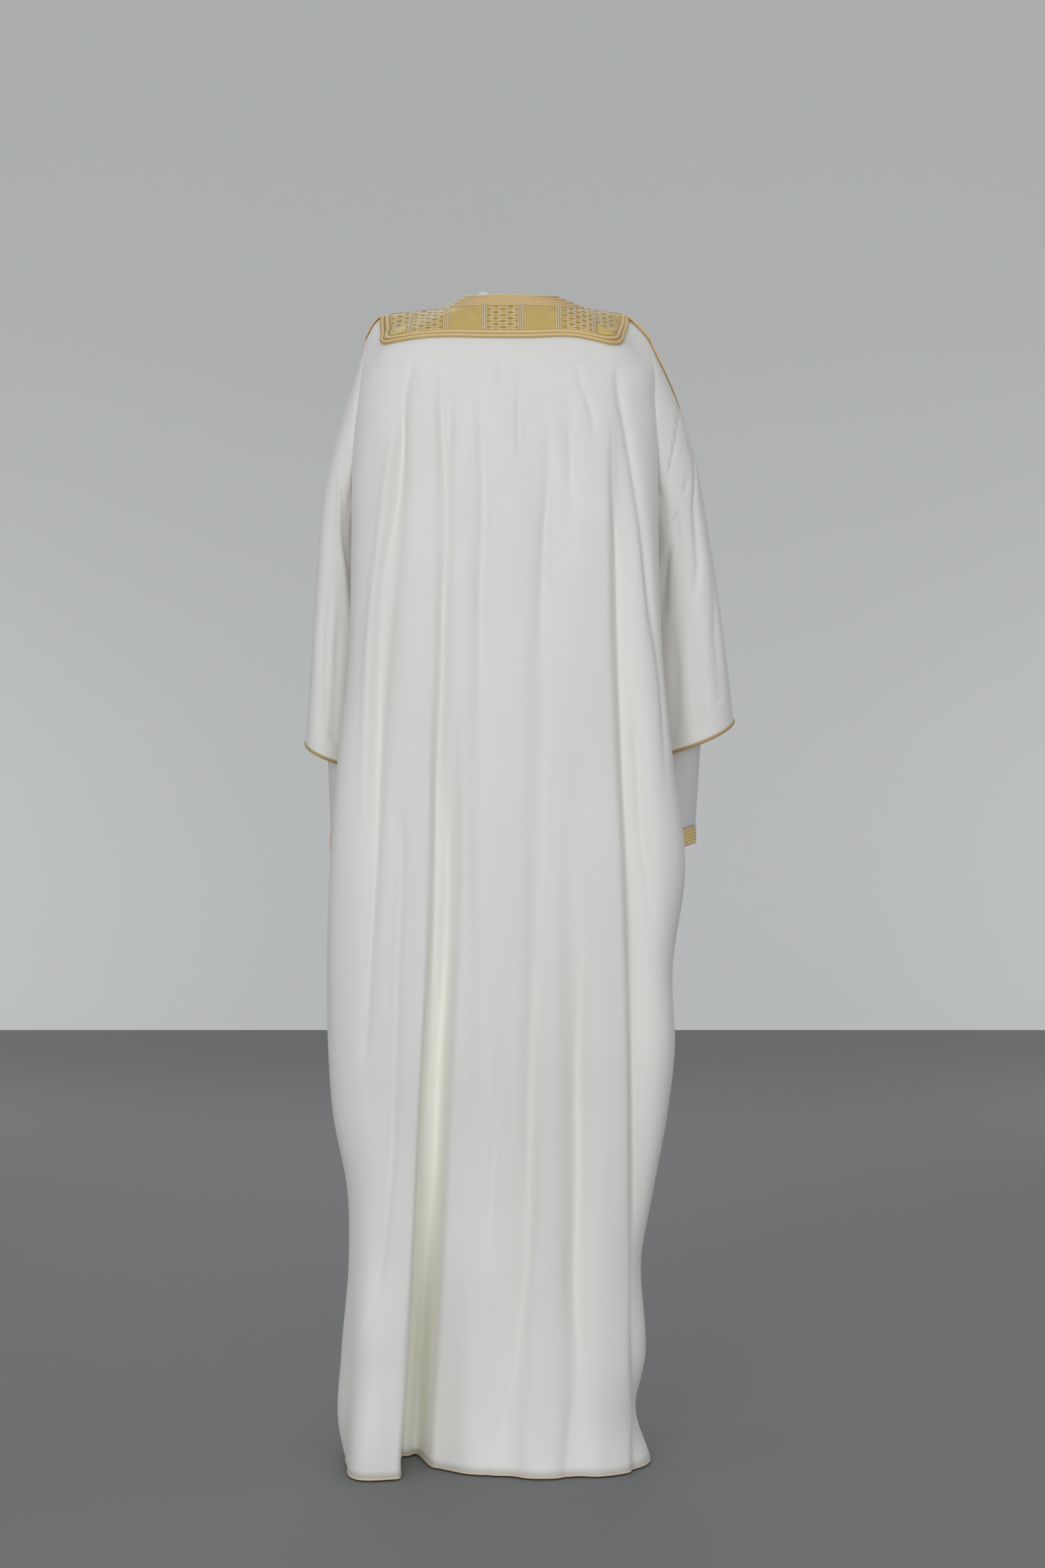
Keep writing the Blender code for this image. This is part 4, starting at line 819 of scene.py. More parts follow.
# %% Thobe panels
THOBE_COLUMNS, YOKE_SEAM_ROW, YOKE_SEAM_HALF = 72, 43, (0.0026, 0.0006)
thobe_rows = panel_rows(THOBE, above=20, armhole=36, below=90)
left_seam, right_seam = seam_edge(THOBE, 1), seam_edge(THOBE, -1)
thobe_back = panel_grid(THOBE, (right_seam, 1), (left_seam, -1), THOBE_COLUMNS, thobe_rows, pull=3)
thobe_grids = {
    "back_yoke": tuple(grid[: YOKE_SEAM_ROW + 1] for grid in thobe_back),
    "back": tuple(grid[YOKE_SEAM_ROW:] for grid in thobe_back),
    "front": panel_grid(THOBE, (left_seam, 1), (seam_edge(THOBE, -1, 2 * math.pi), -1), THOBE_COLUMNS,
                        thobe_rows, pull=3),
}
FLAT_THOBE = {"back_yoke": (0.42, 0.20), "back": (0.42, 1.35), "front": (0.42, 1.55)}
for part, grid in thobe_grids.items():
    cloth("inner_thobe_" + part, THOBE.points(*grid), FLAT_THOBE[part], ivory_inner,
                               "ivory_inner", "thobe_" + part, THOBE_CLOTH)

# %% The seam under the thobe's yoke
seam = [grid[0] for grid in thobe_grids["back"]]
bm = new_mesh()
rope(bm, THOBE.points(*seam), THOBE.normals(*seam), *YOKE_SEAM_HALF, sides=8, step=0.004)
as_piece("inner_yoke_seam", bm, ivory_inner, "ivory_inner")
print("yoke seam:", round(distances(THOBE.points(*seam))[-1], 3), "m")

# %% [markdown]
# ## Sleeves
# A sleeve is a tube that starts on the armhole's edge and becomes a row of ovals, each
# between an outer and an inner line. Its folds run lengthwise too, and the lines of those
# that show are found by looking for the spot on its back nearest to a place on the picture.
# It starts flush with the body, because the picture shows no step at the armhole.

# %% Sleeve surface
SLEEVE_FREE_FROM, SLEEVE_BLEND_TO = 0.10, 0.30
LEAN_POWER, SLEEVE_FOLD_FLAT = 1.5, 1.8


class Sleeve:
    """One sleeve. alpha is 0 on the outer line and 90 degrees behind; at is 0 at the armhole."""

    def __init__(self, body, rows, side):
        self.side, self.lines = side, []
        self.ovals = table(SLEEVE_COLUMNS, [(*row[:6], *row[6 if side > 0 else 7]) for row in rows])
        self.turn = np.linspace(0, 2 * np.pi, 721)
        self.start = body.armhole(side, self.turn)

    def plain(self, alpha, at):
        """Points of the sleeve with no folds."""
        alpha, at = np.broadcast_arrays(np.asarray(alpha, float), np.asarray(at, float))
        s = {k: smooth(at, self.ovals["at"], v) for k, v in self.ovals.items() if k not in ("name", "at")}
        out, behind = np.cos(alpha), np.sin(alpha)
        lean = np.where(behind > 0, s["back_lean"], -s["front_lean"]) * np.abs(behind) ** LEAN_POWER
        x = (s["outer_x"] + s["inner_x"]) / 2 + (s["outer_x"] - s["inner_x"]) / 2 * out + lean
        height = (s["outer_height"] + s["inner_height"]) / 2 + FLOOR
        height = height + (s["outer_height"] - s["inner_height"]) / 2 * out - s["sag"] * np.abs(behind)
        oval = np.stack([self.side * x, s["middle_y"] + s["half_depth"] * behind, height], axis=-1)
        around = alpha % (2 * np.pi)
        start = np.stack([np.interp(around, self.turn, self.start[:, k]) for k in range(3)], axis=-1)
        share = np.clip(at / SLEEVE_BLEND_TO, 0, 1)
        share = (share**2 * (3 - 2 * share))[..., None]
        return start * (1 - share) + oval * share

    def outward(self, alpha, at):
        at = np.clip(at, SLEEVE_STEP, 1 - SLEEVE_STEP)
        return -self.side * normals(self.plain, alpha, at, ANGLE_STEP, SLEEVE_STEP)

    def spot(self, px, py):
        """Where on the sleeve's back a place on the picture is, as (alpha, at)."""
        alpha, at = np.meshgrid(np.radians(np.arange(2, 179, 2)), np.linspace(0, 1, 101))
        points = self.plain(alpha, at)
        away = np.hypot(points[..., 0] - pixel_x(px, points[..., 1]),
                        points[..., 2] - FLOOR - pixel_height(py, points[..., 1]))
        nearest = np.unravel_index(np.argmin(away), away.shape)
        return alpha[nearest], at[nearest]

    def points(self, alpha, at, away):
        """Points `away` outside the plain sleeve, with the folds pressed in."""
        plain = self.plain(alpha, at)
        total = np.zeros(plain.shape[:-1])
        for ats, alphas, depths, reach in self.lines:
            order = np.argsort(ats)
            centre = np.interp(at, ats[order], alphas[order])
            aside = np.linalg.norm(plain - self.plain(centre, at), axis=-1)
            same_side = np.abs(half_turn(alpha - centre)) < 1.5
            near = np.exp(-(aside / reach) ** SLEEVE_FOLD_FLAT) * same_side
            total += np.interp(at, ats[order], depths[order], left=0, right=0) * near
        free = np.clip(at / SLEEVE_FREE_FROM, 0, 1)
        off = away * free**2 * (3 - 2 * free) - total
        return plain + off[..., None] * self.outward(alpha, at)


print("sleeves are free of the body's surface from", SLEEVE_FREE_FROM, "of their length")

# %% Sleeve folds
# Reach in mm, then (px, py, depth in mm) for what shows, and (alpha in degrees, at, depth in mm)
# for the hidden front.
SLEEVE_FOLDS = {
    "right": (
        (7, (990, 650, 0), (987, 680, 6), (985, 725, 6), (987, 765, 0)),
        (9, (1002, 815, 0), (998, 850, 8), (996, 885, 7), (997, 940, 0)),
        (8, (1012, 610, 0), (1005, 700, 5), (1012, 775, 4), (1022, 850, 0)),
        (9, (1033, 640, 0), (1040, 750, 5), (1050, 850, 5), (1042, 910, 0)),
        (9, (1066, 850, 0), (1074, 950, 4), (1080, 1050, 2)),
        (8, (1010, 920, 0), (1012, 1000, 4), (1016, 1100, 2)),
        (9, (1042, 930, 0), (1046, 1010, 3), (1052, 1100, 3)),
    ),
    "left": (
        (8, (533, 690, 0), (532, 720, 5), (532, 780, 5), (530, 835, 0)),
        (9, (512, 700, 0), (510, 750, -4), (516, 850, -4), (525, 950, -3), (526, 1030, 0)),
        (8, (497, 850, 0), (492, 950, 4), (488, 1090, 2)),
        (7, (546, 600, 0), (540, 680, 3), (538, 760, 0)),
        (8, (508, 880, 0), (506, 980, 4), (500, 1110, 3)),
    ),
}
HIDDEN_FOLDS = (
    (10, (300, 0.30, 0), (296, 0.55, 5), (290, 0.80, 5), (286, 1.0, 4)),
    (9, (255, 0.35, 0), (262, 0.60, 4), (258, 0.85, 0)),
    (8, (225, 0.20, 0), (230, 0.45, 5), (236, 0.70, 0)),
    (9, (325, 0.15, 0), (318, 0.35, 4), (322, 0.60, 0)),
)


def hidden_lines(rows, share=1.0):
    lines = []
    for reach, *line in rows:
        alphas, ats, depths = (np.array(column, float) for column in zip(*line))
        lines.append((ats, np.radians(alphas), depths * share / 1000, reach / 1000))
    return lines


ROBE_SLEEVE, THOBE_SLEEVE = {}, {}
for name, side in SIDES.items():
    outer = ROBE_SLEEVE[name] = Sleeve(ROBE, ROBE_SLEEVES, side)
    for reach, *line in SLEEVE_FOLDS[name]:
        spots = np.array([outer.spot(px, py) for px, py, _ in line])
        depths = np.array([depth for *_, depth in line]) / 1000
        outer.lines.append((spots[:, 1], spots[:, 0], depths, reach / 1000))
    outer.lines += hidden_lines(HIDDEN_FOLDS)
    inner = THOBE_SLEEVE[name] = Sleeve(THOBE, THOBE_SLEEVES, side)
    inner.lines += hidden_lines(HIDDEN_FOLDS, 0.5)
    print(name, "sleeve folds:", len(outer.lines))

# %% Sleeve cloth
ROBE_SKIN, THOBE_SKIN = 0.0014, 0.0012


def all_round_sleeve(shape, columns):
    """Angles round a sleeve, in the order that makes its faces look outwards."""
    alpha = np.linspace(0, 2 * np.pi, columns + 1)
    return alpha[::-1] if shape.side > 0 else alpha


def sleeve_grid(shape, columns, rows, away):
    at = np.linspace(0, 1, rows + 1)
    return shape.points(all_round_sleeve(shape, columns)[None, :], at[:, None], away)


for name in SIDES:
    cloth(
        "outer_robe_sleeve_" + name, sleeve_grid(ROBE_SLEEVE[name], 112, 120, ROBE_SKIN), (0.50, 0.54),
        ivory_crepe, "ivory_crepe", "robe_sleeve_" + name, ROBE_CLOTH)
    cloth(
        "inner_thobe_sleeve_" + name, sleeve_grid(THOBE_SLEEVE[name], 64, 96, THOBE_SKIN), (0.34, 0.62),
        ivory_inner, "ivory_inner", "thobe_sleeve_" + name, THOBE_CLOTH)

# %% [markdown]
# ## The yoke's ground
# The yoke is a wide collar-shaped piece of woven gold sewn flat on the robe. Its pattern
# is woven in columns that run straight down the back and on over the shoulder, so spots on
# it are given by x and by how far up they are from the bottom border, where a step along the
# flat top of the shoulder counts for less. The cloth's weight pulls the border's corners down
# a little, and a table says how far at each angle. The ground's grid is closest together at
# the ridge of the shoulder and has a line on it, so that the robe can't come through there.

# %% Yoke surface
BAND_BOTTOM = run_of(ROBE.rings, "band")
YOKE_MIDDLE, YOKE_RUN = run_of(ROBE.rings, "yoke_middle"), run_of(ROBE.rings, "yoke")
BORDER_TOP = YOKE_MIDDLE + (YOKE_RUN - YOKE_MIDDLE) * 0.66
BORDER_BOTTOM = YOKE_MIDDLE + (YOKE_RUN - YOKE_MIDDLE) * 0.985
GROUND_LIFT = 0.0014
# Degrees round the yoke, and how far the border hangs below its ring there, in millimetres
BORDER_DROP = (
    (-180, 0), (-150, 1), (-136, 6), (-120, 6), (-106, 1), (-90, -1), (-75, -6), (-64, -1), (-58, 4),
    (-52, 9), (-40, 13), (-29, 9), (-19, 4), (-12, 2.5), (0, 5), (7, 3.4), (24, 4.7), (42, 8.5), (58, 9),
    (70, 3), (77, -1), (90, 0), (106, 1), (120, 6), (136, 6), (150, 1), (180, 0),
)
DROP_AT, DROP = (np.array(column, float) for column in zip(*BORDER_DROP))


def border_run(theta, share):
    """How far down the robe a line of the border is: share is 0 at its top and 1 at its bottom."""
    drop = smooth(np.degrees(theta), DROP_AT, DROP) / 1000
    return BORDER_TOP + (BORDER_BOTTOM - BORDER_TOP) * share + drop


def all_round(run, count):
    """Angles from the right front edge round the back to the left front edge."""
    return np.linspace(front_edge(ROBE, -1)(run), front_edge(ROBE, 1)(run), count)


def lifted(theta, run, lift):
    return ROBE.points(theta, run) + np.asarray(lift)[..., None] * ROBE.normals(theta, run)


def quarters(run, count):
    """Angles all round, closest together at the ridge of each shoulder and at the middle."""
    ends = [front_edge(ROBE, -1)(run), -math.pi / 2, 0, math.pi / 2, front_edge(ROBE, 1)(run)]
    share = np.linspace(0, 1, count, endpoint=False)
    share = np.where(share < 0.5, (2 * share) ** 1.5 / 2, 1 - (2 - 2 * share) ** 1.5 / 2)
    return np.concatenate([a + (b - a) * share for a, b in zip(ends, ends[1:])] + [ends[-1:]])


YOKE_START = BAND_BOTTOM + 0.0002
YOKE_ROWS, YOKE_QUARTER, YOKE_CLOTH = 33, 80, 0.0008
yoke_shares = np.linspace(0, 1, YOKE_ROWS)
yoke_theta = np.array([quarters(YOKE_START + (BORDER_BOTTOM - YOKE_START) * share, YOKE_QUARTER)
                       for share in yoke_shares])
yoke_run = YOKE_START + (border_run(yoke_theta, 1) - YOKE_START) * yoke_shares[:, None]
yoke = cloth("gold_yoke_ground", lifted(yoke_theta, yoke_run, GROUND_LIFT), (0.80, 0.10), gold_ground,
             "gold_weave", "yoke", YOKE_CLOTH)

# %% Places on the yoke
LEVEL_COUNTS = np.array([0.17, 0.17, 1.0])  # how much a step in x, y and height counts
UP_ROWS = 80


class YokeFace:
    """The back or the front of the yoke, by x and by distance up from the bottom border."""

    def __init__(self, face):
        self.face = face
        self.xs = np.linspace(-0.154, 0.152, 154)
        self.steps = np.linspace(0, 0.20, 201)
        self.runs, self.ends, self.over = [], [], []
        dense = np.linspace(BAND_BOTTOM, BORDER_TOP + DROP.max() / 1000, 440)
        for x in self.xs:
            half = ROBE.column("left" if x > 0 else "right", dense)
            above = dense < border_run(self.theta(np.full(dense.shape, x), dense), 0)
            inside = dense[(half > abs(x) + 1e-5) & above]
            self.over.append(inside[0] > dense[0])
            top = np.interp(abs(x), half, dense) if self.over[-1] else inside[0]
            runs = top + (inside[-1] - top) * np.linspace(1, 0, UP_ROWS) ** 2
            points = ROBE.points(self.theta(np.full(UP_ROWS, x), runs), runs)
            far = distances(points, LEVEL_COUNTS)
            self.runs.append(np.interp(self.steps, far, runs))
            self.ends.append(far[-1])
        self.runs, self.ends = np.array(self.runs), np.array(self.ends)

    def theta(self, x, run):
        half = np.where(x > 0, ROBE.column("left", run), ROBE.column("right", run))
        power = ROBE.column(self.face + "_power", run)
        turned = np.arcsin(np.clip(np.abs(x) / half, 0, 1) ** (1 / power))
        return np.sign(x) * (turned if self.face == "back" else np.pi - turned)

    def end(self, x):
        return np.interp(x, self.xs, self.ends)

    def place(self, x, up, lift):
        """Points at x and `up` metres above the border, lifted off the ground cloth."""
        x, up = np.broadcast_arrays(np.asarray(x, float), np.asarray(up, float))
        i = np.clip((x - self.xs[0]) / (self.xs[1] - self.xs[0]), 0, len(self.xs) - 1.001)
        j = np.clip(up / self.steps[1], 0, len(self.steps) - 1.001)
        a, b, s, t = i.astype(int), j.astype(int), i % 1, j % 1
        run = (self.runs[a, b] * (1 - s) + self.runs[a + 1, b] * s) * (1 - t)
        run = run + (self.runs[a, b + 1] * (1 - s) + self.runs[a + 1, b + 1] * s) * t
        theta = self.theta(x, run)
        way = ROBE.normals(theta, run)
        return ROBE.points(theta, run) + (GROUND_LIFT + np.asarray(lift))[..., None] * way, way


YOKE_FACES = {face: YokeFace(face) for face in ("back", "front")}
print("yoke back is", round(float(YOKE_FACES["back"].end(0.0)) * 1000), "mm high at the middle")

# %% [markdown]
# ## Brickwork stitches
# The blocks are filled with short stitches in columns, olive and pale silver by turns. The
# olive ones are longer and each olive column is half a step off the one before, as in
# brickwork; the pale ones fill the rows between. Each stitch is a small domed patch whose
# edges are just under the ground, and all of one colour are one mesh. A little unevenness in
# place and length keeps them from looking printed. The rows keep their height over the
# shoulder, and the open front has no block at its middle.

# %% Stitches
HALF_COLUMN, ROW_PITCH = 0.0047, 0.0046
# Length as a share of a half column, and width in metres
STITCHES = {"olive": (1.85, 0.0015), "pale": (1.15, 0.0017)}
STITCH_HIGH, STITCH_SUNK = 0.0009, 0.0002
STITCH_FLAT, STITCH_ROUND = 4, 2.5  # the dome's shape along and across
# Where each block starts and ends, in x
BLOCKS = ((0.0805, 0.1200), (-0.0205, 0.0226), (-0.1165, -0.0785))
END_BLOCKS = ((0.1285, 0.1535), (-0.1545, -0.1222))
BLOCK_LOW, END_BLOCK_LOW = 0.0002, 0.0130  # the first row, above the border
TOP_ROOM, EDGE_LENGTH = 0.0012, 0.65  # free space at the top, and the share kept at a block's sides
ASIDE, UP_DOWN, LENGTHS = 0.0003, 0.0002, (0.92, 1.05)  # how uneven the stitches are
PROBE = 0.0005
MOST_STRETCH = 2.6  # a stitch on the level part of the shoulder is this much wider at most
FRONT_FROM = 0.0784  # the open front leaves no room for what is nearer to the middle
uneven = np.random.default_rng(5)


def facing_out(tile, ways):
    """The same grid of points, with its columns turned round where its face would look inwards."""
    face = np.cross(tile[0, 1] - tile[0, 0], tile[1, 0] - tile[0, 0])
    return tile[:, ::-1] if face @ ways[0, 0] < 0 else tile


def stitch_patches(bm, face, spots, wide, thick):
    """Adds a domed patch at each (x, up, length) of a yoke face."""
    u, v = np.meshgrid(np.linspace(-0.5, 0.5, 6), np.linspace(-0.5, 0.5, 5))
    dome = (1 - np.abs(2 * u) ** STITCH_FLAT) * (1 - np.abs(2 * v) ** STITCH_ROUND)
    spots = np.asarray(spots)
    ends = [face.place(spots[:, 0], spots[:, 1] + step, 0.0)[0] for step in (-PROBE, PROBE)]
    stretch = np.linalg.norm(ends[1] - ends[0], axis=1) / (2 * PROBE)
    wides = wide * np.minimum(1, MOST_STRETCH / stretch)
    x = spots[:, 0, None, None] + u * spots[:, 2, None, None]
    up = spots[:, 1, None, None] + v * wides[:, None, None]
    points, ways = face.place(x, up, np.broadcast_to(dome * thick - STITCH_SUNK, x.shape))
    for tile, way, long in zip(points, ways, spots[:, 2]):
        patch(bm, facing_out(tile, way), (long, wide))


# The first row of each of four columns, and the rows from one stitch to the next
FIRST_ROWS = ((0.85, 2), (0.40, 1), (1.85, 2), (0.40, 1))


def brick_spots(face, start, end, low):
    """The stitches of one block, as (x, up, length) in two lists: olive and pale."""
    found = {"olive": [], "pale": []}
    count = 2 * int((end - start) / HALF_COLUMN / 2) + 1
    pitch = (end - start) / count
    for column in range(count):
        colour = "pale" if column % 2 else "olive"
        middle = start + (column + 0.5) * pitch
        room = min(face.end(middle - pitch / 2), face.end(middle + pitch / 2)) - TOP_ROOM
        first, step = FIRST_ROWS[column % 4]
        for row in np.arange(first, room / ROW_PITCH, step):
            x = middle + uneven.uniform(-ASIDE, ASIDE)
            up = low + row * ROW_PITCH + uneven.uniform(-UP_DOWN, UP_DOWN)
            long = STITCHES[colour][0] * pitch * uneven.uniform(*LENGTHS)
            if column in (0, count - 1):
                long *= EDGE_LENGTH
            if up < room:
                found[colour].append((x, up, long))
    return found


print("a half column is", HALF_COLUMN, "m wide and a row", ROW_PITCH, "m high")

# %% Brickwork
stitches = {colour: new_mesh() for colour in STITCHES}
counted = 0
for name, face in YOKE_FACES.items():
    for start, end in BLOCKS + END_BLOCKS:
        if name == "front" and min(abs(start), abs(end)) < FRONT_FROM:
            continue
        low = BLOCK_LOW if (start, end) in BLOCKS else END_BLOCK_LOW
        for colour, spots in brick_spots(face, start, end, low).items():
            if spots:
                stitch_patches(stitches[colour], face, spots, STITCHES[colour][1], STITCH_HIGH)
                counted += len(spots)
as_pieces("yoke_stitches_", stitches, {"pale": stitch_thread, "olive": olive_thread}, "gold_weave",
          closed_form=False)
print("brick stitches:", counted)

# %% [markdown]
# ## Braids between the blocks
# Narrow braids part the blocks from the plain gold fields: three cords side by side, up from
# the bottom border. The outer ones go over the shoulder and down to the border in front, and
# the others end at the top. An olive rope lies along the ridge of each shoulder.

# %% Vertical braids
# x of the cord's middle, half its width, and its thread
UPRIGHTS = (
    (0.1262, 0.0010, "pale"), (0.1243, 0.0009, "grey"), (0.1222, 0.0010, "pale"),
    (0.0791, 0.0012, "grey"), (0.0766, 0.0013, "peach"), (0.0740, 0.0012, "pale"),
    (0.0282, 0.0010, "grey"), (0.0258, 0.0013, "pale"), (0.0232, 0.0012, "grey"),
    (-0.0196, 0.0012, "grey"), (-0.0221, 0.0012, "grey"), (-0.0246, 0.0012, "pale"),
    (-0.0693, 0.0011, "peach"), (-0.0719, 0.0014, "pale"), (-0.0747, 0.0013, "grey"),
    (-0.1168, 0.0010, "grey"), (-0.1190, 0.0011, "pale"), (-0.1211, 0.0009, "grey"),
)
UPRIGHT_THREADS = {"pale": pale_thread, "grey": grey_thread, "peach": peach_braid}
OUTER_FROM, UPRIGHT_ROWS = FRONT_FROM + 0.002, 60
UPRIGHT_LIFT, UPRIGHT_HIGH = 0.4, 0.8  # as shares of the cord's half width
FINE_CORD = {"sides": 6, "step": 0.0025}
uprights = {colour: new_mesh() for colour in UPRIGHT_THREADS}
for x, half, colour in UPRIGHTS:
    routes, over = [], False
    for face in YOKE_FACES.values() if abs(x) > OUTER_FROM else [YOKE_FACES["back"]]:
        ups = np.linspace(0, float(face.end(x)) - 0.0003, UPRIGHT_ROWS)
        routes.append(face.place(np.full(UPRIGHT_ROWS, x), ups, np.full(UPRIGHT_ROWS, half * UPRIGHT_LIFT)))
        over = face.over[int(np.argmin(np.abs(face.xs - x)))]
    if over and len(routes) == 2:
        (back, back_way), (front, front_way) = routes
        routes = [(np.concatenate([back, front[::-1]]), np.concatenate([back_way, front_way[::-1]]))]
    for points, ways in routes:
        rope(uprights[colour], points, ways, half, half * UPRIGHT_HIGH, **FINE_CORD)
as_pieces("yoke_uprights_", uprights, UPRIGHT_THREADS, "gold_weave")
print("vertical braid cords:", len(UPRIGHTS))

# %% Olive ropes on the shoulder ridges
# An olive rope along the ridge of each shoulder
RIDGE_ROPE_HALF, RIDGE_ROPE_HIGH, RIDGE_ROPE_LIFT = 0.0009, 0.0006, GROUND_LIFT + 0.0003
BEHIND_RIDGE = 0.0008  # in radians, so that the cord lies on one side of the ridge
ridge_ropes = new_mesh()
runs = np.linspace(BAND_BOTTOM + 0.0025, BORDER_TOP - 0.0010, 60)
for side in SIDES.values():
    theta = np.full(runs.shape, side * (math.pi / 2 - BEHIND_RIDGE))
    route = lifted(theta, runs, np.full(runs.shape, RIDGE_ROPE_LIFT))
    rope(ridge_ropes, route, ROBE.normals(theta, runs), RIDGE_ROPE_HALF, RIDGE_ROPE_HIGH, **FINE_CORD)
as_piece("yoke_shoulder_ridge_ropes", ridge_ropes, olive_thread, "gold_weave")
print("shoulder seams:", len(SIDES))

# %% [markdown]
# ## Border and neck braid
# The yoke's edge is a smooth braid: a broad peach cord, a fine tan line, a broad gold cord
# and a thin tan edge, side by side. The neck has nine cords, broad peach and thin tan by
# turns. Each cord is a rope at one share of the width, from front edge to front edge, and a
# row of olive stitches runs beside each braid.

# %% Cords round the yoke
def cord_route(run_at, lift, count=460):
    """Points and outward ways of a cord round the robe. run_at gives its run at each angle."""
    theta = all_round(BORDER_BOTTOM, count)
    runs = run_at(theta)
    return lifted(theta, runs, np.full(count, lift)), ROBE.normals(theta, runs)


# Share of the border's width, half the cord's width in metres, and its thread
BORDER_CORDS = (
    (0.25, 0.0024, "peach"), (0.50, 0.0006, "lines"), (0.73, 0.0021, "gold"), (0.96, 0.0009, "lines"),
)
BORDER_THREADS = {"peach": peach_braid, "gold": gold_braid, "lines": border_thread}
ROUND_CORD = {"sides": 8, "step": 0.0025}
BORDER_LIFT, BORDER_HIGH = GROUND_LIFT + 0.0007, 0.0009
border = {colour: new_mesh() for colour in BORDER_THREADS}
for share, half, colour in BORDER_CORDS:
    route = cord_route(lambda theta: border_run(theta, share), BORDER_LIFT)
    rope(border[colour], *route, half, BORDER_HIGH, **ROUND_CORD)
as_pieces("yoke_border_", border, BORDER_THREADS, "gold_braid")

NECK_CORDS = (("peach", 0.0020), ("gold", 0.0013))  # by turns: thread and half its width
NECK_COUNT, NECK_EDGE, NECK_LIFT, NECK_HIGH = 9, 0.0012, 0.0010, 0.0013
neck = {colour: new_mesh() for colour, _ in NECK_CORDS}
neck_runs = np.linspace(NECK_EDGE, BAND_BOTTOM - NECK_EDGE, NECK_COUNT)
for number, run in enumerate(neck_runs):
    colour, half = NECK_CORDS[number % 2]
    route = cord_route(lambda theta: np.full(theta.shape, run), NECK_LIFT)
    rope(neck[colour], *route, half, NECK_HIGH, **ROUND_CORD)
as_pieces("neck_braid_", neck, {"peach": peach_braid, "gold": border_thread}, "gold_braid", "neck_band")
print("border cords:", len(BORDER_CORDS), "neck cords:", len(neck_runs))


# %% Dotted rows
DOT_LONG, DOT_WIDE, DOT_GAP, DOT_HIGH = 0.0026, 0.0013, 0.0018, 0.0007
DOT_LIFT = GROUND_LIFT - 0.0001
# A share of the border's width above it, and metres below the neck's braid
DOTS_ABOVE_BORDER, DOTS_BELOW_NECK = -0.03, 0.0012


def dotted_row(bm, run_at):
    """Small domed stitches along one line round the yoke."""
    theta = all_round(BORDER_BOTTOM, 1200)
    far = distances(ROBE.points(theta, run_at(theta)))
    u, v = np.meshgrid(np.linspace(-0.5, 0.5, 4), np.linspace(-0.5, 0.5, 4))
    dome = (1 - np.abs(2 * u) ** 3) * (1 - np.abs(2 * v) ** 2)
    centres = np.arange(DOT_LONG, far[-1] - DOT_LONG, DOT_LONG + DOT_GAP)
    at = centres[:, None, None] + u * DOT_LONG
    angles = np.interp(at, far, theta)
    high = DOT_LIFT + np.broadcast_to(dome * DOT_HIGH, at.shape)
    for tile in lifted(angles, run_at(angles) + v * DOT_WIDE, high):
        patch(bm, tile, (DOT_LONG, DOT_WIDE))
    return len(centres)


dots = new_mesh()
counted = dotted_row(dots, lambda theta: border_run(theta, DOTS_ABOVE_BORDER))
counted += dotted_row(dots, lambda theta: np.full(theta.shape, BAND_BOTTOM + DOTS_BELOW_NECK))
as_piece("yoke_dotted_rows", dots, olive_thread, "gold_weave", closed_form=False)
print("dots:", counted)

# %% [markdown]
# ## Corner triangles and beads
# In each bottom corner a plain gold triangle breaks the brickwork, with a darker spot and
# a few white beads beside it.

# %% Triangles
triangles, spots_mesh, beads = new_mesh(), new_mesh(), new_mesh()
CORNER_COLUMNS = "side x long high spot_x spot_up bead_x bead_up"
CORNERS = (
    (1, 0.1290, 0.0245, 0.0190, 0.1460, 0.0075, 0.1375, 0.0142),
    (-1, 0.1225, 0.0290, 0.0185, 0.1450, 0.0055, 0.1390, 0.0125),
)
TRIANGLE_LOW, TRIANGLE_SLANT, TRIANGLE_EDGE, TRIANGLE_DOME = 0.0010, 0.0005, 0.0004, 0.0006
SPOT_LONG, SPOT_HIGH, SPOT_SLANT = 0.0110, 0.0044, 0.0035
SPOT_TOP, SPOT_FALL = 0.0015, 0.0018
BEADS, BEAD_STEP, BEAD_FALL, BEAD_RADIUS = 4, 0.0033, 0.0008, 0.0009
for face in YOKE_FACES.values():
    for row in CORNERS:
        c = dict(zip(CORNER_COLUMNS.split(), row))
        u, v = np.meshgrid(np.linspace(0, 1, 9), np.linspace(0, 1, 9))
        x = c["side"] * (c["x"] + u * c["long"])
        dome = TRIANGLE_EDGE + TRIANGLE_DOME * np.clip(8 * v * (1 - v), 0, 1) * (1 - u)
        up = TRIANGLE_LOW + v * c["high"] * (1 - u) + TRIANGLE_SLANT * u
        points, ways = face.place(x, up, dome)
        patch(triangles, facing_out(points, ways), (c["long"], c["high"]))
        x = c["side"] * (c["spot_x"] + (u - 0.5) * SPOT_LONG)
        up = c["spot_up"] + (v - 0.5) * SPOT_HIGH - (u - 0.5) * SPOT_SLANT
        dome = SPOT_TOP - SPOT_FALL * np.clip((u - 0.5) ** 2 + (v - 0.5) ** 2, 0, 0.25) * 4
        points, ways = face.place(x, up, dome)
        patch(spots_mesh, facing_out(points, ways), (SPOT_LONG, SPOT_HIGH))
        for k in range(BEADS):
            x, up = c["side"] * (c["bead_x"] + BEAD_STEP * k), c["bead_up"] - BEAD_FALL * k
            centre, _ = face.place(x, up, 0.0006)
            bmesh.ops.create_uvsphere(beads, u_segments=10, v_segments=6, radius=BEAD_RADIUS,
                                      matrix=Matrix.Translation(Vector(centre)))
as_piece("yoke_triangles", triangles, gold_satin, "gold_weave", closed_form=False)
as_piece("yoke_triangle_spots", spots_mesh, ochre_cord, "gold_weave", closed_form=False)
print("corners finished:", 2 * len(CORNERS))

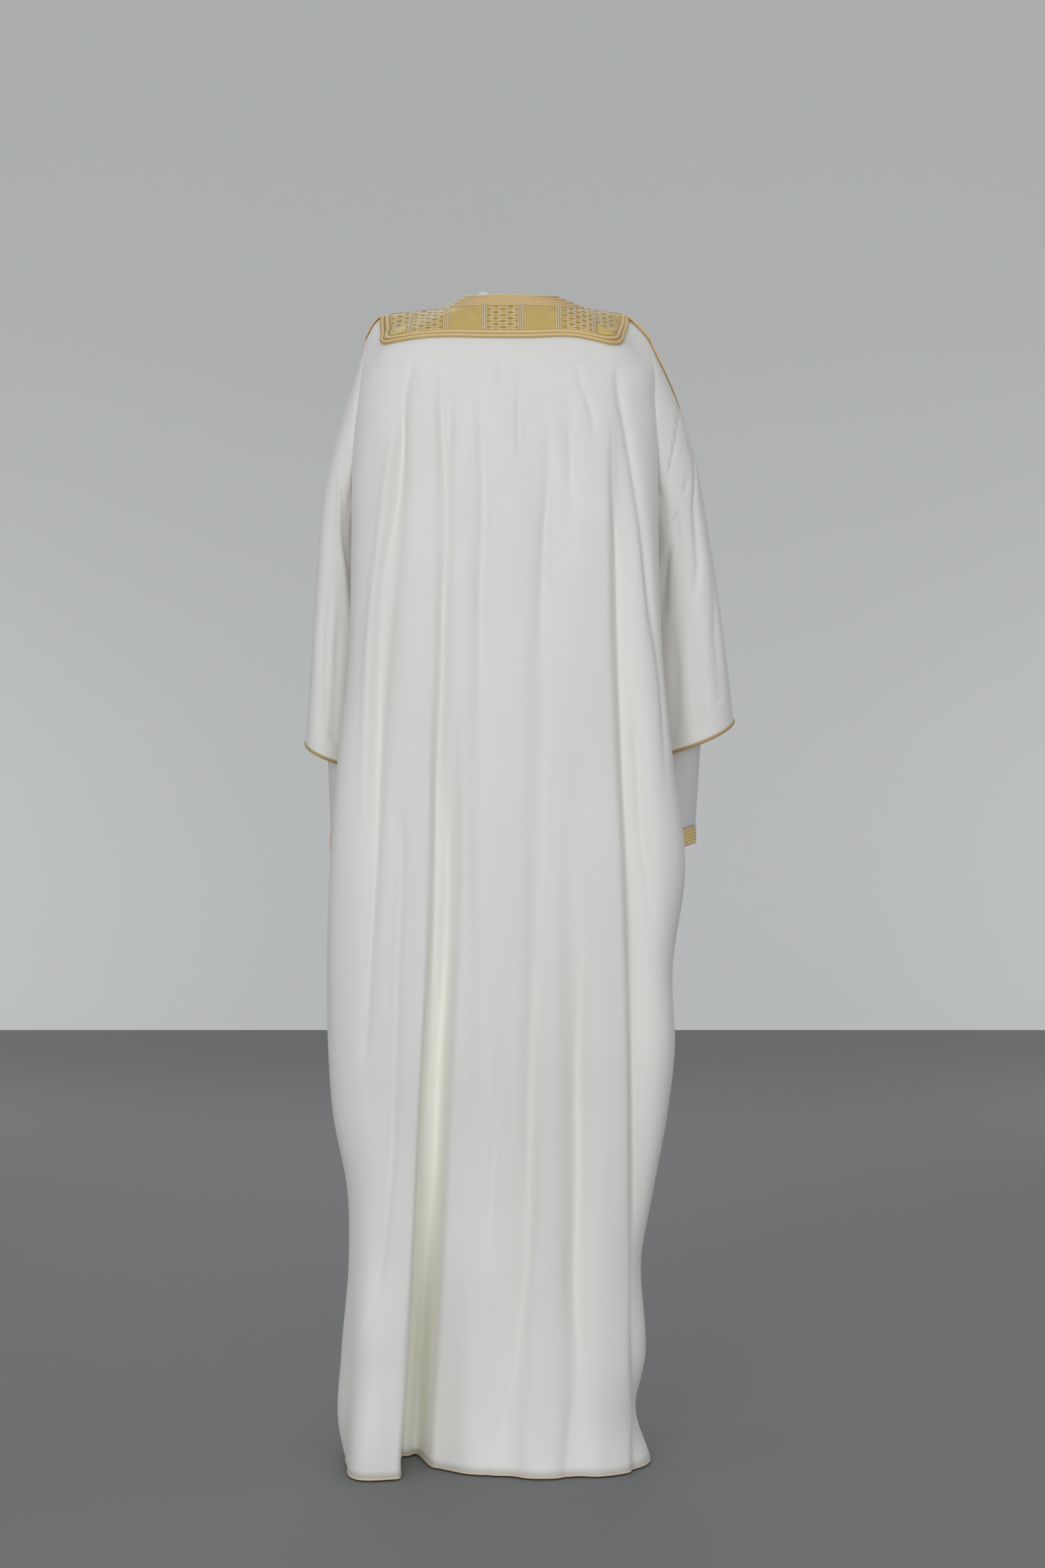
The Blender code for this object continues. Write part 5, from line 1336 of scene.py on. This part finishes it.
# %% Pearl beads
pearl, pearl_tree, pearl_shader = new_finish("white_pearl", 0.28)
pearl_place = add_node(pearl_tree, "TexCoord").outputs["Object"]
pearl_noise = add_node(pearl_tree, "TexNoise", f0=pearl_place, Scale=400.0).outputs["Fac"]
pearl_tones = colours(pearl_tree, pearl_noise, (0.3, (0.80, 0.77, 0.70)), (0.7, (0.90, 0.88, 0.84)))
feed(pearl_tree, pearl_shader, Base_Color=pearl_tones)
pearl_shader.inputs["Coat Weight"].default_value = 0.5
as_piece("yoke_beads", beads, pearl, "gold_weave")
print("beads:", 2 * len(CORNERS) * BEADS)

# %% [markdown]
# ## Cords on the sleeves
# A flat gold braid covers the seam from the yoke down the outside of each sleeve and gets
# narrower as it goes. On the right it sits a little further back, and so shows more. Each
# sleeve's rounded hem is bound with a thin ochre cord.

# %% Overarm braids
# How far down the sleeve the braid reaches, its angles behind the outer line on the way, and
# how far behind the ridge of the shoulder it is at the yoke and at the armhole
OVERARM = {
    "left": (0.18, (0.005, -0.01, -0.04, -0.08), 0.002, 0.005),
    "right": (0.38, (0.09, 0.30, 0.28, 0.21), 0.014, 0.025),
}
BRAID_CORDS = ((-0.0044, 0.0025), (0.0, 0.0026), (0.0044, 0.0025))  # how far back, half its width
BRAID_HIGH, BRAID_END = 0.0013, 0.45  # its height, and the share of its size left at the end
ARM_FROM, ARM_LIFT, TOP_LIFTS = 0.02, 0.0012, (0.0024, 0.0016)
BACKWARDS = np.array([0, 1.0, 0])
for name, side in SIDES.items():
    shape = ROBE_SLEEVE[name]
    reach, turns, *behind = OVERARM[name]
    ats = np.linspace(ARM_FROM, reach, 40)
    turns = smooth(ats, np.linspace(ARM_FROM, reach, len(turns)), np.array(turns))
    arm_way = shape.outward(turns, ats)
    arm = shape.points(turns, ats, ROBE_SKIN) + ARM_LIFT * arm_way
    runs = np.linspace(BORDER_BOTTOM - 0.002, run_of(ROBE.rings, "shoulder") - 0.004, 12)
    deep = ROBE.column("back", runs) - ROBE.column("wide", runs)
    theta = (np.linspace(*behind, len(runs)) / deep) ** (1 / ROBE.column("back_power", runs))
    theta = side * (math.pi / 2 - theta)
    top = lifted(theta, runs, np.linspace(*TOP_LIFTS, len(runs)))
    points, ways = np.concatenate([top, arm]), np.concatenate([ROBE.normals(theta, runs), arm_way])
    bm = new_mesh()
    narrowing = np.linspace(1, BRAID_END, len(points))[:, None]
    for shift, half in BRAID_CORDS:
        rope(bm, points + shift * BACKWARDS * narrowing, ways, half * narrowing[:, 0],
             BRAID_HIGH * narrowing[:, 0], sides=8, step=0.0015, strands=2, pitch=0.008)
    as_piece("overarm_braid_" + name, bm, peach_braid, "gold_braid", "overarm_cord_" + name)
    print("overarm braid", name)

# %% Sleeve hems
SLEEVE_CORD, SLEEVE_CORD_DROP, MID_WALL = 0.0022, 0.0012, 0.0005
for name, shape in ROBE_SLEEVE.items():
    alpha = np.linspace(0, 2 * np.pi, 361)
    ends = np.ones_like(alpha)
    hem = shape.points(alpha, ends, ROBE_SKIN - MID_WALL)
    hem[:, 2] -= SLEEVE_CORD_DROP
    bm = new_mesh()
    rope(bm, hem, shape.outward(alpha, ends), SLEEVE_CORD, SLEEVE_CORD, sides=12, step=0.0012,
         strands=3, pitch=0.009, closed=True)
    as_piece("sleeve_hem_cord_" + name, bm, ochre_cord, "ochre_piping", "sleeve_piping_" + name)
    print("sleeve hem cord", name)

# %% [markdown]
# ## Hem cords
# The robe's floor hem and front edges are bound with a fine pale peach cord. It follows the
# last row of the cloth, so it goes in and out with every fold.

# %% Floor hem and front edges
HEM_RADIUS = 0.0016
CORD_BELOW, CORD_BESIDE = 0.9, 0.7  # of its radius, from the cloth's edge
for part, (theta, run) in robe_grids.items():
    hem = ROBE.points(theta[-1], run[-1]) - MID_WALL * ROBE.normals(theta[-1], run[-1])
    hem[:, 2] -= HEM_RADIUS * CORD_BELOW
    ways = np.tile([0.0, 0.0, 1.0], (len(hem), 1))
    if part != "back":
        column = -1 if part == "front_left" else 0
        rows = robe_rows > YOKE_RUN + 0.002
        edge = ROBE.points(theta[rows, column], run[rows, column])
        before = ROBE.points(theta[rows, -6 if column else 5], run[rows, column])
        edge = edge + unit(edge - before) * HEM_RADIUS * CORD_BESIDE
        edge_ways = ROBE.normals(theta[rows, column], run[rows, column])
        if column:
            hem, ways = np.concatenate([hem, edge[::-1]]), np.concatenate([ways, edge_ways[::-1]])
        else:
            hem, ways = np.concatenate([edge, hem]), np.concatenate([edge_ways, ways])
    bm = new_mesh()
    rope(bm, hem, ways, HEM_RADIUS, HEM_RADIUS, sides=10, step=0.0016, strands=3, pitch=0.010)
    as_piece("hem_cord_" + part, bm, peach_cord, "peach_piping", "hem_piping_" + part)
    print("hem cord", part)

# %% [markdown]
# ## Cuffs
# The thobe's sleeves end in narrow ribbed cuffs of gold thread. The wall is one grid from
# the top edge down, over the ribs, and the thickness is added inwards.

# %% Cuffs
CUFF_HEIGHT, CUFF_CLOTH, CUFF_OUT = 0.024, 0.0014, 0.0016
CUFF_COLUMNS, CUFF_ROWS = 128, 50
CUFF_RIBS, RIB_HIGH, RIB_ROUND = 5, 0.0010, 0.7
for name, shape in THOBE_SLEEVE.items():
    alpha = all_round_sleeve(shape, CUFF_COLUMNS)
    end = shape.points(alpha, np.ones_like(alpha), 0.0)
    way = shape.outward(alpha, np.ones_like(alpha))
    way[:, 2] = 0
    way = unit(way)
    share = np.linspace(0, 1, CUFF_ROWS + 1)
    bulge = CUFF_OUT + RIB_HIGH * np.abs(np.sin(math.pi * CUFF_RIBS * share)) ** RIB_ROUND
    points = end[None] + bulge[:, None, None] * way[None]
    points[..., 2] -= (share * CUFF_HEIGHT)[:, None]
    cloth("ribbed_cuff_" + name, points, (0.22, CUFF_HEIGHT), gold_braid, "gold_braid", "cuff_" + name,
          CUFF_CLOTH)

# %% [markdown]
# ## Collar, placket and buttons
# The thobe has a low stand collar and a placket with three pearl buttons. The collar leans
# in a little towards the neck, and its top edge is rounded by a bead of the same cloth. At
# the back it has rucked up in one place, where the picture shows a pale bit above the robe.

# %% Collar
COLLAR_HEIGHT, COLLAR_LEAN = 0.030, 0.004
COLLAR_RUCK, COLLAR_RUCK_X, COLLAR_RUCK_HALF = 0.0088, 0.032, 0.010
COLLAR_GAP_DEG = 4  # each side of the front's middle
TRIM_CLOTH = 0.0013
COLLAR_COLUMNS, COLLAR_ROWS, COLLAR_UP = 180, 16, 0.0006
EDGE_BEAD = 0.0010
gap = math.radians(COLLAR_GAP_DEG)
theta = np.linspace(gap - math.pi, math.pi - gap, COLLAR_COLUMNS + 1)
base = THOBE.points(theta, np.zeros_like(theta))
out = unit(base * np.array([1, 1, 0]))
base = base + np.array([0, 0, COLLAR_UP])
share = np.linspace(0, 1, COLLAR_ROWS + 1)[:, None, None]
collar_points = base[None] + share * (np.array([0, 0, COLLAR_HEIGHT]) - COLLAR_LEAN * out[None])
ruck = COLLAR_RUCK * np.exp(-((base[:, 0] - COLLAR_RUCK_X) / COLLAR_RUCK_HALF) ** 4) * (base[:, 1] > 0)
collar_points[..., 2] += share[..., 0] ** 2 * ruck
collar = cloth("stand_collar", collar_points[::-1], (0.40, COLLAR_HEIGHT), ivory_inner, "ivory_inner",
               "thobe_collar", TRIM_CLOTH)
collar_edge = new_mesh()
rope(collar_edge, collar_points[-1] - out * 0.0006, out, EDGE_BEAD, EDGE_BEAD, sides=8, step=0.003)
as_piece("collar_edge", collar_edge, ivory_inner, "ivory_inner")

# %% Placket
PLACKET_HALF, PLACKET_LIFT, STITCHING_HALF = 0.01775, 0.0018, (0.0004, 0.0003)
placket_runs = np.linspace(0.001, run_of(THOBE.rings, "underarm") + 0.02, 60)
across = np.linspace(PLACKET_HALF, -PLACKET_HALF, 15)
half = THOBE.column("left", placket_runs)[:, None]
placket_theta = math.pi - np.arcsin(across[None, :] / half)
placket_run = np.broadcast_to(placket_runs[:, None], placket_theta.shape)
way = THOBE.normals(placket_theta, placket_run)
points = THOBE.points(placket_theta, placket_run) + PLACKET_LIFT * way
placket = cloth("front_placket", points, (2 * PLACKET_HALF, 0.31), ivory_inner, "ivory_inner", "placket",
                TRIM_CLOTH)
stitching = new_mesh()
for column in (1, -2):
    rope(stitching, points[:, column] + 0.0001 * way[:, column], way[:, column], *STITCHING_HALF,
         sides=6, step=0.003)
as_piece("placket_stitching", stitching, pale_thread, "ivory_inner")


# %% Buttons
# Share of the radius, and height
BUTTON_PROFILE = (
    (0, 0.0006), (0.55, 0.0006), (0.70, 0.0011), (0.86, 0.0012), (1.0, 0.0002), (0.94, -0.0010), (0, -0.0012),
)


def button(name, node):
    """A turned button with a raised rim and a sunk middle, spun round its own axis."""
    low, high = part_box(node)
    centre, radius = (low + high) / 2, (high.x - low.x) / 2
    bm = new_mesh()
    ring = [bm.verts.new((r * radius, 0, z)) for r, z in BUTTON_PROFILE]
    edges = [bm.edges.new(pair) for pair in zip(ring, ring[1:])]
    bmesh.ops.spin(bm, geom=ring + edges, cent=(0, 0, 0), axis=(0, 0, 1), angle=2 * math.pi, steps=28,
                   use_merge=True)
    bmesh.ops.remove_doubles(bm, verts=bm.verts, dist=1e-6)
    near = int(np.argmin(np.abs(points[:, 7, 2] - centre.z)))
    facing = Vector(way[near, 7]).to_track_quat("Z", "Y").to_matrix().to_4x4()
    bmesh.ops.transform(bm, matrix=Matrix.Translation(centre) @ facing, verts=bm.verts)
    as_piece(name, bm, pearl, "pearl_button", node)
    print(name, "across", round(2 * radius * 1000, 1), "mm")


for number in (1, 2, 3):
    button(f"pearl_button_{number}", f"button_{number}")

# %% [markdown]
# ## What the cloth was cut to
# Each sheet is given the flat size that it was cut to, as the size of its UV map: worn cloth
# folds, but it hardly stretches.

print("sheets are given the flat size that they were cut to")

# %% [markdown]
# ## Floor, wall and light
# A plain floor, which ends before the lamps behind the camera, and a wall well behind, with
# painted light that makes it paler towards its foot. The light is soft: an even sky of pale
# blue-grey, and two wide lamps on the camera's side, one a little stronger, so that the folds
# have a side. A third lights the front softly, and two low ones out of the picture light the
# foot of the wall.

# %% Stage
def stage_finish(name, high, low, roughness):
    """Paint with faint clouds in it, and painted light: one colour high up and another at the floor."""
    material, tree, shader = new_finish(name, roughness)
    place = add_node(tree, "TexCoord").outputs["Object"]
    height = add_node(tree, "SeparateXYZ", f0=place).outputs["Z"]
    up = add_node(tree, "MapRange", f0=height, f1=FLOOR, f2=1.2).outputs["Result"]
    cloud = add_node(tree, "TexNoise", f0=place, Scale=0.8, Detail=4.0).outputs["Fac"]
    mix = add_node(tree, "Math", {"operation": "MULTIPLY_ADD"}, f0=cloud, f1=0.2, f2=up).outputs["Value"]
    feed(tree, shader, Base_Color=colours(tree, mix, (0.1, low), (1.0, high)))
    return material


def stage_plane(name, corners, finish):
    bm = bmesh.new()
    bmesh.ops.create_grid(bm, x_segments=1, y_segments=1, size=1)
    for v in bm.verts:
        v.co = Vector(corners[(v.co.x > 0) + 2 * (v.co.y > 0)])
    obj = new_object(name, bm, finish)


WALL_Y, WALL_TOP, STAGE_HALF, FLOOR_END = -6.0, 5, 8, 4.6
wall_foot = ((-STAGE_HALF, WALL_Y, FLOOR), (STAGE_HALF, WALL_Y, FLOOR))
floor_finish = stage_finish("plain_floor", (0.205, 0.203, 0.203), (0.200, 0.198, 0.198), 0.8)
# The wall is paler at its foot than higher up: painted light
wall_finish = stage_finish("grey_wall", (0.78, 0.765, 0.74), (0.90, 0.885, 0.865), 0.9)
near = ((-STAGE_HALF, FLOOR_END, FLOOR), (STAGE_HALF, FLOOR_END, FLOOR))
high = ((-STAGE_HALF, WALL_Y, WALL_TOP), (STAGE_HALF, WALL_Y, WALL_TOP))
stage_plane("floor", (*wall_foot, *near), floor_finish)
stage_plane("wall", (wall_foot[0], high[0], wall_foot[1], high[1]), wall_finish)
print("wall stands", -WALL_Y, "m behind")

# %% Light
SKY_COLOUR, SKY_STRENGTH, LAMP_COLOUR = (0.92, 0.965, 1.0, 1), 0.56, (0.93, 0.97, 1.0)
world = bpy.data.worlds.new("soft_sky")
world.use_nodes = True
sky = world.node_tree.nodes["Background"]
sky.inputs["Color"].default_value = SKY_COLOUR
sky.inputs["Strength"].default_value = SKY_STRENGTH
scene.world = world

# Each lamp's place, aim, width in metres and power in watts
LAMPS = {
    "key": ((1.5, 4.8, -0.2), (0, 0, -0.6), 2.0, 60),
    "fill": ((-0.9, 5.0, -0.6), (0, 0, -0.7), 2.2, 42),
    "front_fill": ((0.4, -3.4, 1.4), (0, 0, -0.6), 2.6, 24),
    "wall_left": ((3.0, -3.4, -0.9), (1.0, -6, -1.3), 1.4, 16),
    "wall_right": ((-3.0, -3.4, -0.9), (-1.0, -6, -1.3), 1.4, 16),
}
for name, (place, aim, size, power) in LAMPS.items():
    light = bpy.data.lights.new(name, "AREA")
    light.shape, light.size, light.energy, light.color = "DISK", size, power, LAMP_COLOUR
    obj = bpy.data.objects.new(name, light)
    obj.location = place
    obj.rotation_euler = (Vector(aim) - Vector(place)).to_track_quat("-Z", "Y").to_euler()
    scene.collection.objects.link(obj)
scene.view_settings.view_transform = "Standard"
scene.view_settings.look = "None"
print("lights: sky and", len(LAMPS), "lamps")
